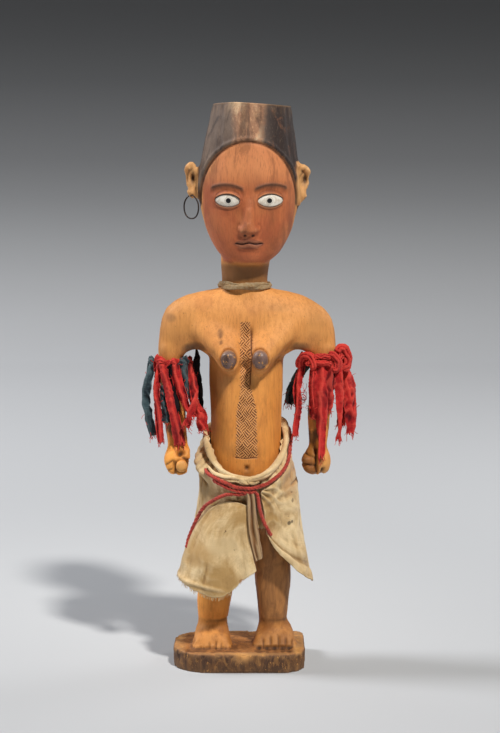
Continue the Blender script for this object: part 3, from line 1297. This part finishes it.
def wrap(name, points, radius, seed):
    """Bunched loop of cloth through a few points in millimetres"""

    def size_of(spin, v):
        drift = 3.2 * soft_noise(v * 3.5, seed, 1) + 1.2 * v
        crease = abs(math.cos(2.5 * spin + drift)) ** 0.45
        size = radius * (0.62 + 0.54 * crease)
        size += 0.42 * soft_noise(v * 9 + seed, math.cos(spin) * 1.4, math.sin(spin) * 1.4)
        size += 0.22 * soft_noise(v * 26, math.cos(spin) * 3 + seed, math.sin(spin) * 3)
        return size * min(1.0, 0.3 + 9 * min(v, 1 - v))

    return rings(name, along(points, 110), 30, radius, size_of, 0.86)


# Each loop: its half thickness, and the places it goes through.
LOOPS = [
    (2.9, [
        (45.6, -6, 226), (45.4, -9, 232), (48.6, -12.6, 236.6), (53.5, -14.6, 236), (56.2, -15, 231),
        (54, -14.6, 226),
    ]),
    (1.9, [(50, -13.4, 229.5), (54, -15.2, 233.4), (58.4, -15.6, 236.8)]),
    (2.0, [(56.4, -15.4, 236), (62, -16.6, 236.6), (69, -15.2, 235.6)]),
    (1.9, [(56, -15.6, 231.8), (62.5, -17, 231.6), (69.5, -15.4, 230.6)]),
    (2.6, [
        (66.5, -14.4, 238), (70.6, -15.2, 237.2), (74, -14, 232.6), (73, -14.2, 227.4), (69.4, -15, 225),
    ]),
    (2.0, [(70.5, -13.4, 230.5), (74.5, -13.2, 233.5), (77.4, -11, 237.6)]),
    (3.1, [
        (72.6, -9, 237.5), (76, -8.6, 241.8), (79.6, -6.6, 240.6), (81.6, -5, 234.6), (81, -5.4, 228.4),
        (77.8, -8, 224.6),
    ]),
    (2.4, [(77.6, -3, 238), (80.4, -1, 233), (80, 0, 227)]),
]
right_band = arm_band("right", RIGHT_ARM, 11, 2, 230.6, 2.6, 0.9)
left_parts = [arm_band("left", LEFT_ARM, 9, 5, 232.8, 3.5, 1.5)]
left_parts += [wrap(f"loop_{k}", points, radius, 3 * k + 1) for k, (radius, points) in enumerate(LOOPS)]
left_band = join("knotted_band_left", left_parts)
stand_for(right_band, "arm_band_right")
stand_for(left_band, "arm_band_left")
print("bands:", len(right_band.data.polygons), len(left_band.data.polygons))

# %% Hollows of the folds
def mark_folds(piece, times, depth):
    """Keep how far each corner lies below (1) or above (0) the cloth round it; 0.5 is level"""
    spots, outward, pairs = skin_arrays(piece.data)
    even = np.stack([averaged(spots[:, k], pairs, times) for k in range(3)], axis=1)
    sunk = averaged(((even - spots) * outward).sum(axis=1) / depth, pairs, 1)
    keep(piece.data, "fold", np.clip(0.5 + 0.5 * sunk, 0, 1))


all_torn = [piece for piece, _ in torn["right"] + torn["left"]]
for pieces, times, depth in [
    (all_torn, 16, 0.5), ([right_band, left_band], 14, 0.3), (cloths, 14, 0.26), ([necklace], 10, 0.16),
]:
    for piece in pieces:
        mark_folds(piece, times, depth)
keep(tie.data, "soiled", np.ones(len(tie.data.vertices)))
print("folds marked on", len(all_torn) + len(cloths) + 3, "pieces")


# %% [markdown]
# ## Materials
# Shader sums read best as plain sums, so one small class wraps a socket and gives it the usual
# operators. Another holds a material's nodes, and lays one thin coat over another. Noise that is squeezed
# along one axis makes wood grain, and the masks from the carving say where paint, dirt and wear go.


# %% Shader sums
def tone(red, green, blue):
    """Colour from its 0 to 255 values on a screen"""
    screen = [value / 255 for value in (red, green, blue)]
    return (*[v / 12.92 if v <= 0.04045 else ((v + 0.055) / 1.055) ** 2.4 for v in screen], 1.0)


class Wire:
    """A socket of a material, ready for sums"""

    def __init__(self, finish, socket):
        self.finish, self.socket = finish, socket

    def sum(self, operation, left, right=0.0):
        return self.finish.node("ShaderNodeMath", {"operation": operation}, {0: left, 1: right})

    def sin(self):
        return self.sum("SINE", self)

    def clamp(self):
        return self.finish.node("ShaderNodeClamp", {}, {0: self, 1: 0.0, 2: 1.0})

    def between(self, low, high):
        """0 below low and 1 above high, soft in between"""
        settings = {"interpolation_type": "SMOOTHSTEP"}
        return self.finish.node("ShaderNodeMapRange", settings, {0: self, 1: low, 2: high, 3: 0.0, 4: 1.0})


for word, operation in [("add", "ADD"), ("sub", "SUBTRACT"), ("mul", "MULTIPLY"), ("pow", "POWER")]:
    setattr(Wire, f"__{word}__", lambda self, other, kind=operation: self.sum(kind, self, other))
    setattr(Wire, f"__r{word}__", lambda self, other, kind=operation: self.sum(kind, other, self))


# %% The nodes of a material
class Finish:
    """One material, made of nodes that are linked as they are asked for"""

    def __init__(self, name):
        self.material = bpy.data.materials.new(name)
        self.material.use_nodes = True
        self.tree = self.material.node_tree
        self.tree.nodes.clear()
        self.output = self.tree.nodes.new("ShaderNodeOutputMaterial")
        self.aside, self.deep, self.up = [self.part(self.spots(), name) for name in "XYZ"]

    def node(self, kind, settings=None, sockets=None, output=0):
        made = self.tree.nodes.new(kind)
        for key, value in (settings or {}).items():
            setattr(made, key, value)
        for key, value in (sockets or {}).items():
            self.feed(made.inputs[key], value)
        return Wire(self, made.outputs[output])

    def feed(self, socket, value):
        if isinstance(value, Wire):
            self.tree.links.new(value.socket, socket)
        else:
            socket.default_value = value

    def mix(self, share, under, over):
        """Colour between two, by a share from 0 to 1; each is a wire or three values on a screen"""
        under, over = [tone(*colour) if isinstance(colour, tuple) else colour for colour in (under, over)]
        return self.node("ShaderNodeMix", {"data_type": "RGBA"}, {0: share, 6: under, 7: over}, output=2)

    def coats(self, colour, *layers):
        """Colour under thin coats, each with its share and its own colour"""
        for share, coat in layers:
            colour = self.mix(share, colour, coat)
        return colour

    def part(self, vector, name):
        return self.node("ShaderNodeSeparateXYZ", {}, {0: vector}, output=name)

    def spots(self):
        return self.node("ShaderNodeTexCoord", output="Object")

    def cut_map(self):
        return self.node("ShaderNodeUVMap", {"uv_map": "cut"})

    def mask(self, name):
        return self.node("ShaderNodeAttribute", {"attribute_name": name}, output="Fac")

    def away(self, x, z, wide=1.0, tall=1.0):
        """Squared distance from a place seen from the front, in half widths and heights in millimetres"""
        dx = (self.aside - x * MM) * (1000 / wide)
        dz = (self.up - z * MM) * (1000 / tall)
        return dx * dx + dz * dz

    def noise(self, scale, detail=4.0, rough=0.55, where=None, distortion=0.0):
        """Noise from 0 to 1; scale is its counts a metre along each axis"""
        moved = self.node("ShaderNodeMapping", {}, {0: where or self.spots(), 3: scale})
        sockets = {"Vector": moved, "Scale": 1.0, "Detail": detail}
        sockets.update({"Roughness": rough, "Distortion": distortion})
        return self.node("ShaderNodeTexNoise", {}, sockets)

    def weave(self, pitch):
        """Plain weave from 0 to 1, with pitch metres from thread to thread"""
        warp, weft = [self.part(self.cut_map(), name) * (math.pi / pitch) for name in "XY"]
        return warp.sin() * weft.sin() * 0.5 + 0.5

    def slubs(self):
        """Threads of the weave that are thicker or darker for a while"""
        one = self.noise((1800, 60, 1), 2.0, 0.5, self.cut_map())
        other = self.noise((60, 1800, 1), 2.0, 0.5, self.cut_map())
        return (one + other) * 0.5

    def surface(self, colour, roughness, relief=None, height=0.0005, **fixed):
        shader = self.tree.nodes.new("ShaderNodeBsdfPrincipled")
        self.feed(shader.inputs["Base Color"], colour)
        self.feed(shader.inputs["Roughness"], roughness)
        for key, value in fixed.items():
            self.feed(shader.inputs[key.replace("_", " ")], value)
        if relief is not None:
            bump = self.node("ShaderNodeBump", {}, {"Strength": 1.0, "Distance": height, "Height": relief})
            self.feed(shader.inputs["Normal"], bump)
        self.tree.links.new(shader.outputs[0], self.output.inputs[0])
        return self.material


def dress(material, *pieces):
    """Give the pieces a material, and no other"""
    for piece in pieces:
        piece.data.materials.clear()
        piece.data.materials.append(material)


# %% [markdown]
# ### Wood, paint and patina
# The bare wood is ochre-orange with fine upright grain, paler where hands rubbed it and darker in the
# hollows. The left leg is browner, and the base is dark with worn patches. The face is rubbed with red
# ochre, the cap is nearly black over red-brown, and the knobs are polished dark. All of it is one
# material, because it is one piece of wood, and the masks choose between the layers.

# %% Bare wood
wood = Finish("carved_wood")
across, depth, high = wood.aside, wood.deep, wood.up
grain = wood.noise((420, 420, 26), 6.0, 0.6)
fibre = wood.noise((1500, 1500, 110), 3.0, 0.6)
clouds = wood.noise((16, 16, 11), 4.0, 0.6)
blotch = wood.noise((62, 62, 42), 5.0, 0.62, distortion=0.4)
smear = wood.noise((120, 120, 34), 5.0, 0.66, distortion=0.8)
speck = wood.noise((420, 420, 300), 3.0, 0.7)
worn_side = wood.noise((260, 260, 150), 4.0, 0.7, distortion=0.6)
before = 1 - depth.between(-0.008, -0.002)
BETWEEN_ARMS = 0.0083
arms = ((across - BETWEEN_ARMS) ** 2).between(0.0013, 0.0021)
arm_wood = wood.mix(blotch.between(0.35, 0.65), (188, 128, 66), (218, 154, 86))
bare = wood.coats(
    wood.mix(clouds.between(0.36, 0.64), (212, 132, 54), (232, 156, 74)),
    (high.between(0.18, 0.28) * 0.6, (230, 162, 94)),
    (arms * 0.5 * high.between(0.19, 0.225), arm_wood),
    (grain.between(0.42, 0.72) * 0.32, (164, 98, 44)),
    (smear.between(0.52, 0.74) * 0.34, (156, 94, 46)),
    (blotch.between(0.5, 0.7) * 0.3, (164, 96, 48)),
    (fibre.between(0.52, 0.76) * 0.34, (126, 72, 34)),
    (speck.between(0.64, 0.74) * 0.5, (92, 52, 26)),
)
ragged = (blotch - 0.5) * 3.2 + (smear - 0.5) * 1.5
for x, z, wide, tall, share in [
    (-51, 264.6, 3.8, 3.2, 0.5), (-13.8, 254.3, 2.2, 3.4, 0.45), (-32, 243, 8, 3.6, 0.75),
    (-38, 241, 5, 4, 0.7), (-10, 220, 6, 7, 0.34), (-14.5, 213, 6, 8, 0.26), (46.5, 243, 8, 3.6, 0.75),
    (28, 273, 9, 3, 0.18), (-20, 238, 3, 5, 0.2), (60, 262, 8, 6, 0.14),
]:
    stained = (1 - (wood.away(x, z, wide, tall) + ragged).between(-0.2, 2.0)) * before
    bare = wood.mix(stained * share, bare, (88, 60, 40))
flank = (1 - across.between(-0.02, -0.005)) * high.between(0.165, 0.182) * (1 - high.between(0.222, 0.236))
hand = arms * (1 - high.between(0.17, 0.182))
bare = wood.coats(
    bare,
    (flank * (1 - arms) * (0.6 * before + 0.2) * 0.6, (140, 84, 38)),
    (hand * 0.85, wood.mix(blotch.between(0.4, 0.6), (226, 136, 46), (255, 170, 68))),
)

# %% Legs, feet and base
leg = 1 - high.between(0.128, 0.15)
right_leg = wood.mix(blotch.between(0.36, 0.62), (222, 138, 48), (248, 164, 70))
left_leg = wood.mix(smear.between(0.36, 0.62), (120, 80, 46), (178, 122, 68))
leg_wood = wood.coats(
    wood.mix(across.between(0.0, 0.006), right_leg, left_leg),
    (grain.between(0.5, 0.75) * 0.35, (96, 58, 32)),
)
foot = (1 - high.between(0.028, 0.038)) * 0.8
plate = 1 - high.between(0.0148, 0.0163)
plate_side = 1 - high.between(0.0128, 0.0146)
side_wood = wood.coats(
    wood.mix(smear.between(0.38, 0.6), (70, 46, 34), (112, 76, 46)),
    (worn_side.between(0.5, 0.66) * 0.75, (150, 106, 60)),
    (fibre.between(0.5, 0.7) * 0.45, (50, 34, 30)),
    (speck.between(0.62, 0.68) * 0.8, (206, 148, 78)),
)
bare = wood.coats(
    bare,
    (leg * 0.9, leg_wood),
    (foot, wood.mix(blotch.between(0.36, 0.6), (158, 98, 44), (204, 138, 70))),
    (foot * smear.between(0.5, 0.64) * 0.5, (132, 82, 42)),
    (plate * 0.85, wood.mix(smear.between(0.4, 0.62), (112, 72, 44), (176, 116, 62))),
    (plate_side, side_wood),
    ((wood.mask("pale_rim") * 0.5).clamp(), (196, 150, 98)),
    ((wood.mask("chip") * 0.9).clamp(), (222, 162, 92)),
)

# %% Pigment on the face and the cap
not_cap = (1 - wood.mask("cap")).clamp()
chin = 0.3062 + (blotch - 0.5) * 0.006
face_front = (1 - depth.between(-0.012, -0.004)) * (high - chin).between(-0.0015, 0.0015) * not_cap
face_front = face_front * (1 - high.between(0.399, 0.402))
forehead = high.between(0.358, 0.378)
ochre = wood.coats(
    wood.mix(blotch.between(0.34, 0.6), (150, 78, 46), (188, 108, 64)),
    (forehead * 0.8, wood.mix(clouds.between(0.4, 0.6), (222, 142, 92), (228, 154, 98))),
    (smear.between(0.48, 0.66) * 0.5, (118, 66, 42)),
    (clouds.between(0.44, 0.6) * 0.5 * (1 - forehead), (186, 88, 54)),
    (fibre.between(0.5, 0.75) * 0.4, (108, 58, 38)),
)
under_chin = high.between(0.286, 0.294) * (1 - high.between(0.302, 0.309)) * (1 - arms)
aside = (across - 0.0065) * 70.0 + (blotch - 0.5) * 1.2
streak = 1 - (aside * aside).between(0.15, 1.0)
rubbed = wood.coats(
    wood.mix(blotch.between(0.42, 0.58), (174, 126, 94), (236, 200, 160)),
    (speck.between(0.52, 0.62) * 0.8, (216, 164, 122)),
)
pale_side = 1 - (across + 0.026 + (blotch - 0.5) * 0.012).between(0.0, 0.014)
patches = wood.noise((150, 150, 110), 5.0, 0.7, distortion=0.5)
cap_paint = wood.coats(
    wood.mix(clouds.between(0.4, 0.6), (84, 68, 60), (116, 98, 86)),
    (grain.between(0.5, 0.8) * 0.45, (52, 40, 36)),
    (streak * (before * 0.6 + 0.25), rubbed),
    (across.between(0.014, 0.028) * 0.88, (40, 28, 26)),
    (pale_side * before * 0.36, (154, 128, 106)),
    (patches.between(0.54, 0.68) * across.between(-0.002, 0.012) * 0.4, (146, 96, 66)),
    (fibre.between(0.56, 0.74) * 0.28, (164, 142, 120)),
    (smear.between(0.5, 0.66) * 0.6, (46, 36, 34)),
)
ear_wood = wood.mix(blotch.between(0.36, 0.62), (196, 136, 78), (230, 178, 118))
painted = wood.coats(
    bare,
    (face_front * 0.94, ochre),
    (under_chin * 0.85, wood.mix(grain, (92, 58, 30), (140, 92, 48))),
    ((wood.mask("lips") * 0.75).clamp(), (120, 60, 44)),
    (wood.mask("cap"), cap_paint),
    ((wood.mask("ear") * 0.85).clamp(), ear_wood),
)

# %% Knobs, cuts, hollows and rubbed edges
knob_paint = wood.coats(
    wood.mix(smear.between(0.38, 0.6), (58, 42, 44), (116, 92, 88)),
    (speck.between(0.6, 0.64), (196, 136, 66)),
)
hollow = (wood.mask("hollow") * 1.4).clamp()
rim_light = 1 - wood.mask("cap") * (1 - high.between(0.412, 0.418) * 1.5)
painted = wood.coats(
    painted,
    (wood.mask("knob"), knob_paint),
    ((wood.mask("grime") * 0.85).clamp(), (52, 32, 20)),
    ((wood.mask("rub") * 0.6).clamp(), (214, 162, 94)),
    ((wood.mask("band") * 0.8).clamp(), (234, 164, 96)),
    (hollow * 0.65, (66, 36, 18)),
    ((wood.mask("edge") * 0.4 * rim_light).clamp(), (226, 176, 124)),
    ((wood.mask("cut") * 0.97).clamp(), (80, 32, 15)),
    ((wood.mask("dirt") * 0.88).clamp(), (54, 32, 18)),
    ((wood.mask("dark") * 0.97).clamp(), (40, 24, 20)),
)
gloss = 0.54 + 0.2 * grain - 0.1 * wood.mask("edge") - 0.26 * wood.mask("knob") + 0.1 * plate_side
relief = 0.5 * grain + 0.35 * fibre + 0.5 * blotch + 0.4 * smear
dress(wood.surface(painted, gloss, relief, 0.0006, Specular_IOR_Level=0.4), carving)

# %% Eye inlay
eye = Finish("white_inlay")
pupils, outlines = [], []
for eye_x, eye_z in EYES:
    inward = 0.4 if eye_x < FACE_X else -0.4
    away = eye.away(eye_x + inward, eye_z) ** 0.5
    pupils.append(1 - away.between(1.75, 2.05))
    outlines.append(away.between(2.15, 2.45) * (1 - away.between(2.75, 3.05)))
cloudy = eye.noise((300, 300, 300), 4.0, 0.6)
white = eye.coats(
    eye.mix(cloudy.between(0.4, 0.72), (236, 230, 218), (206, 194, 176)),
    ((outlines[0] + outlines[1]) * 0.35, (120, 110, 100)),
    ((pupils[0] + pupils[1]).clamp(), (22, 20, 22)),
)
dress(eye.surface(white, 0.28 + 0.2 * cloudy, cloudy, 0.0001), *inlays)

# %% Iron wire
iron = Finish("dark_wire")
rust = iron.noise((900, 900, 900), 4.0, 0.65)
iron_colour = iron.mix(rust.between(0.45, 0.7), (46, 42, 42), (92, 70, 56))
dress(iron.surface(iron_colour, 0.42 + 0.3 * rust, rust, 0.0002, Metallic=0.75), hoop)

# %% [markdown]
# ### Cloth and cord
# The cotton is plainly woven. Its threads are waves along the cut's own UV map, in metres, so the weave
# keeps its size and follows every fold. Stains and dust are noise in the piece's own space, so they run
# on from fold to fold.


# %% Cream cotton
cream = Finish("cream_cotton")
slub = cream.slubs()
stain = cream.noise((34, 34, 30), 5.0, 0.62, distortion=0.6)
dust = cream.noise((130, 130, 130), 5.0, 0.65)
spot = cream.noise((260, 260, 220), 2.0, 0.5)
cotton = cream.coats(
    cream.mix(stain.between(0.38, 0.62), (235, 208, 161), (189, 152, 98)),
    (dust.between(0.5, 0.74) * 0.34, (164, 126, 78)),
    (slub.between(0.5, 0.66) * 0.35, (156, 120, 74)),
    (spot.between(0.735, 0.77) * 0.8, (88, 58, 34)),
)
for x, z, wide, tall, colour in [
    (37.6, 111.6, 1.4, 1.5, (50, 38, 30)), (39.8, 112.4, 0.8, 1.1, (50, 38, 30)),
    (39.4, 134.6, 0.9, 1, (80, 56, 36)), (40.2, 128.4, 0.8, 1.6, (110, 82, 52)),
    (38, 146, 7, 14, (190, 142, 92)), (14, 141, 6, 4, (120, 92, 60)), (2.4, 69, 2.4, 2, (150, 78, 40)),
    (-33, 88, 16, 9, (196, 158, 104)), (-40, 60, 10, 7, (176, 138, 84)), (33, 82, 9, 5, (172, 136, 86)),
    (-12, 96, 12, 7, (212, 184, 138)), (12.5, 128, 4, 12, (160, 122, 76)),
]:
    here = 1 - (cream.away(x, z, wide, tall) + (dust - 0.5) * 1.5).between(0.3, 1.5)
    cotton = cream.mix(here * 0.75, cotton, colour)
cream_fold = cream.mask("fold")
cotton = cream.coats(
    cotton,
    (cream.mask("soiled") * 0.7, (128, 78, 38)),
    (cream_fold.between(0.54, 0.95) * 0.5, (128, 92, 52)),
    ((1 - cream_fold).between(0.55, 0.95) * 0.25, (240, 218, 176)),
)
WEAVE, TORN_WEAVE = 0.00062, 0.00055
cotton_relief = cream.weave(WEAVE) * 0.5 + slub * 0.8 + dust * 0.5
cream_cloth = cream.surface(cotton, 0.92, cotton_relief, 0.00022, Sheen_Weight=0.15, Specular_IOR_Level=0.2)
dress(cream_cloth, *cloths, fringe)

# %% Necklace cotton
neck = Finish("necklace_cotton")
neck_fold = neck.noise((700, 700, 700), 4.0, 0.6)
neck_colour = neck.coats(
    neck.mix(neck_fold.between(0.35, 0.66), (255, 236, 196), (226, 192, 138)),
    (neck.mask("fold").between(0.52, 0.9) * 0.75, (104, 74, 44)),
)
dress(neck.surface(neck_colour, 0.92, neck_fold, 0.0003, Specular_IOR_Level=0.2), necklace)

# %% Red cloth
red = Finish("red_cotton")
red_slub = red.slubs()
faded = red.noise((60, 60, 60), 4.0, 0.6)
deep = red.noise((190, 190, 150), 4.0, 0.6)
red_fold = red.mask("fold")
red_colour = red.coats(
    red.mix(faded.between(0.35, 0.65), (156, 20, 26), (198, 44, 42)),
    (deep.between(0.45, 0.7) * 0.6, (112, 16, 24)),
    (red_slub.between(0.5, 0.68) * 0.4, (214, 92, 80)),
    (red_fold.between(0.52, 0.9) * 0.85, (72, 8, 18)),
)
for x, z, wide, tall, share in [
    (-37.5, 230, 5, 7, 0.7), (68.4, 218, 3.6, 8, 0.75), (65, 205, 6, 8, 0.4), (82, 186, 5, 9, 0.25),
    (-46, 176, 7, 9, 0.5),
]:
    shade = 1 - (red.away(x, z, wide, tall) + (deep - 0.5) * 1.5).between(0.3, 1.5)
    red_colour = red.mix(shade * share, red_colour, (64, 10, 20))
red_colour = red.mix((1 - red_fold).between(0.56, 0.86) * 0.45, red_colour, (232, 84, 70))
red_relief = red.weave(TORN_WEAVE) * 0.5 + red_slub * 0.7 + deep * 0.5
red_cloth = red.surface(red_colour, 0.9, red_relief, 0.0002, Sheen_Weight=0.05, Specular_IOR_Level=0.2)
dress(red_cloth, right_band, left_band, *loose.values(), *[p for p in all_torn if "_red_" in p.name])

# %% Dark cloth
dark = Finish("dark_cotton")
dark_slub = dark.slubs()
worn = dark.noise((110, 110, 90), 4.0, 0.6)
dark_fold = dark.mask("fold")
dark_colour = dark.coats(
    dark.mix(worn.between(0.36, 0.64), (26, 38, 46), (58, 78, 84)),
    (dark_slub.between(0.52, 0.7) * 0.5, (104, 122, 124)),
    (dark_fold.between(0.5, 0.85) * 0.8, (12, 16, 20)),
    ((1 - dark_fold).between(0.55, 0.85) * 0.3, (110, 132, 136)),
)
dark_relief = dark.weave(TORN_WEAVE) * 0.5 + dark_slub * 0.7
dark_cloth = dark.surface(dark_colour, 0.9, dark_relief, 0.0002, Sheen_Weight=0.15, Specular_IOR_Level=0.2)
dress(dark_cloth, *[p for p in all_torn if "_navy_" in p.name])
black = Finish("blackened_cotton")
black_worn = black.noise((110, 110, 90), 4.0, 0.6)
black_colour = black.mix(black_worn.between(0.4, 0.7), (18, 18, 22), (44, 40, 44))
black_cloth = black.surface(black_colour, 0.92, black.weave(TORN_WEAVE), 0.0002, Specular_IOR_Level=0.2)
dress(black_cloth, *[p for p in all_torn if "_black_" in p.name])

# %% Red cord
cord = Finish("red_cord")
fluff = cord.noise((1400, 1400, 1400), 4.0, 0.65)
dull = cord.noise((150, 150, 150), 3.0, 0.6)
cord_colour = cord.coats(
    cord.mix(fluff.between(0.35, 0.7), (158, 44, 34), (206, 84, 66)),
    (dull.between(0.45, 0.7) * 0.55, (120, 44, 30)),
)
cord_finish = cord.surface(cord_colour, 0.85, fluff, 0.0003, Sheen_Weight=0.3, Specular_IOR_Level=0.25)
dress(cord_finish, cord_loop, cord_long, cord_short)
print("materials:", [m.name for m in bpy.data.materials])

# %% [markdown]
# ## Floor, backdrop and light
# A pale sweep rises behind the figure and turns darker with height, as studio paper does when it falls
# away from the lamp. A soft key stands in front, to the right and above, and a narrow spot from the same
# place makes the floor brightest round the base. A wide fill from the left gives the second, weaker
# shadow, and two faint lamps behind pick out the sides.

# %% Sweep
PAPER, WIDE = 5200, 6000
FRONT, BEND_START, BEND = -1500, 2000, 600


def sweep_place(u, v):
    """Floor that bends up into a wall, in millimetres"""
    run = FRONT + PAPER * v
    arc = min(math.pi / 2, max(0, run - BEND_START) / BEND)
    up_wall = max(0, run - BEND_START - BEND * math.pi / 2)
    away = min(run, BEND_START) + BEND * math.sin(arc)
    return WIDE * (u - 0.5), away, BEND * (1 - math.cos(arc)) + up_wall


sweep = shaped_grid("sweep", (WIDE * MM, PAPER * MM), (4, 130), sweep_place)
paper = Finish("pale_paper")
run_up = paper.part(paper.cut_map(), "Y") * (1 / (PAPER * MM))
PALE = tone(199, 202, 206)
SHADES = [
    (0.2, 0.96), (0.32, 0.98), (0.45, 1.08), (0.6, 1.22), (0.675, 1.26), (0.72, 0.985), (0.745, 0.795),
    (0.765, 0.615), (0.784, 0.428), (0.8, 0.31), (0.817, 0.234), (0.832, 0.168), (0.847, 0.126),
    (0.8585, 0.103), (1.0, 0.085),
]
paper_colour = paper.node("ShaderNodeValToRGB", {}, {0: run_up})
row = paper_colour.socket.node.color_ramp.elements
while len(row) < len(SHADES):
    row.new(0.5)
for stop, (place, share) in zip(row, SHADES):
    stop.position, stop.color = place, (*[channel * share for channel in PALE[:3]], 1.0)
dress(paper.surface(paper_colour, 0.9, Specular_IOR_Level=0.2), sweep)

# %% Lamps
def lamp(name, kind, where, aim_height, size, power, colour=(1, 1, 1)):
    """Lamp that looks at a height over the middle of the base"""
    data = bpy.data.lights.new(name, kind)
    if kind == "AREA":
        data.shape = "DISK"
        data.size = size
    else:
        data.shadow_soft_size = size / 2
        data.spot_size = math.radians(POOL_ANGLE)
        data.spot_blend = 1.0
    data.energy = power
    data.color = colour
    made = bpy.data.objects.new(name, data)
    made.location = where
    made.rotation_euler = (Vector((0, 0, aim_height)) - Vector(where)).to_track_quat("-Z", "Y").to_euler()
    bpy.context.collection.objects.link(made)


KEY_PLACE = (1.13, -2.29, 3.27)
WARM = (1, 0.96, 0.9)
POOL_ANGLE = 7.6
lamp("key", "AREA", KEY_PLACE, 0.2, 0.36, 119, WARM)
lamp("pool", "SPOT", KEY_PLACE, 0.23, 0.36, 215, WARM)
lamp("fill", "AREA", (-3.3, 0.56, 2.8), 0.1, 1.4, 118, (0.98, 0.98, 1))
lamp("rim", "AREA", (-0.9, 0.9, 1.1), 0.25, 0.8, 1.5)
lamp("rim_right", "AREA", (1.1, 0.7, 0.9), 0.2, 0.7, 4)
world = bpy.data.worlds.new("room")
world.use_nodes = True
air = world.node_tree.nodes["Background"].inputs
air["Color"].default_value = (0.97, 0.98, 1, 1)
air["Strength"].default_value = 0.05
bpy.context.scene.world = world
bpy.context.scene.view_settings.view_transform = "Standard"
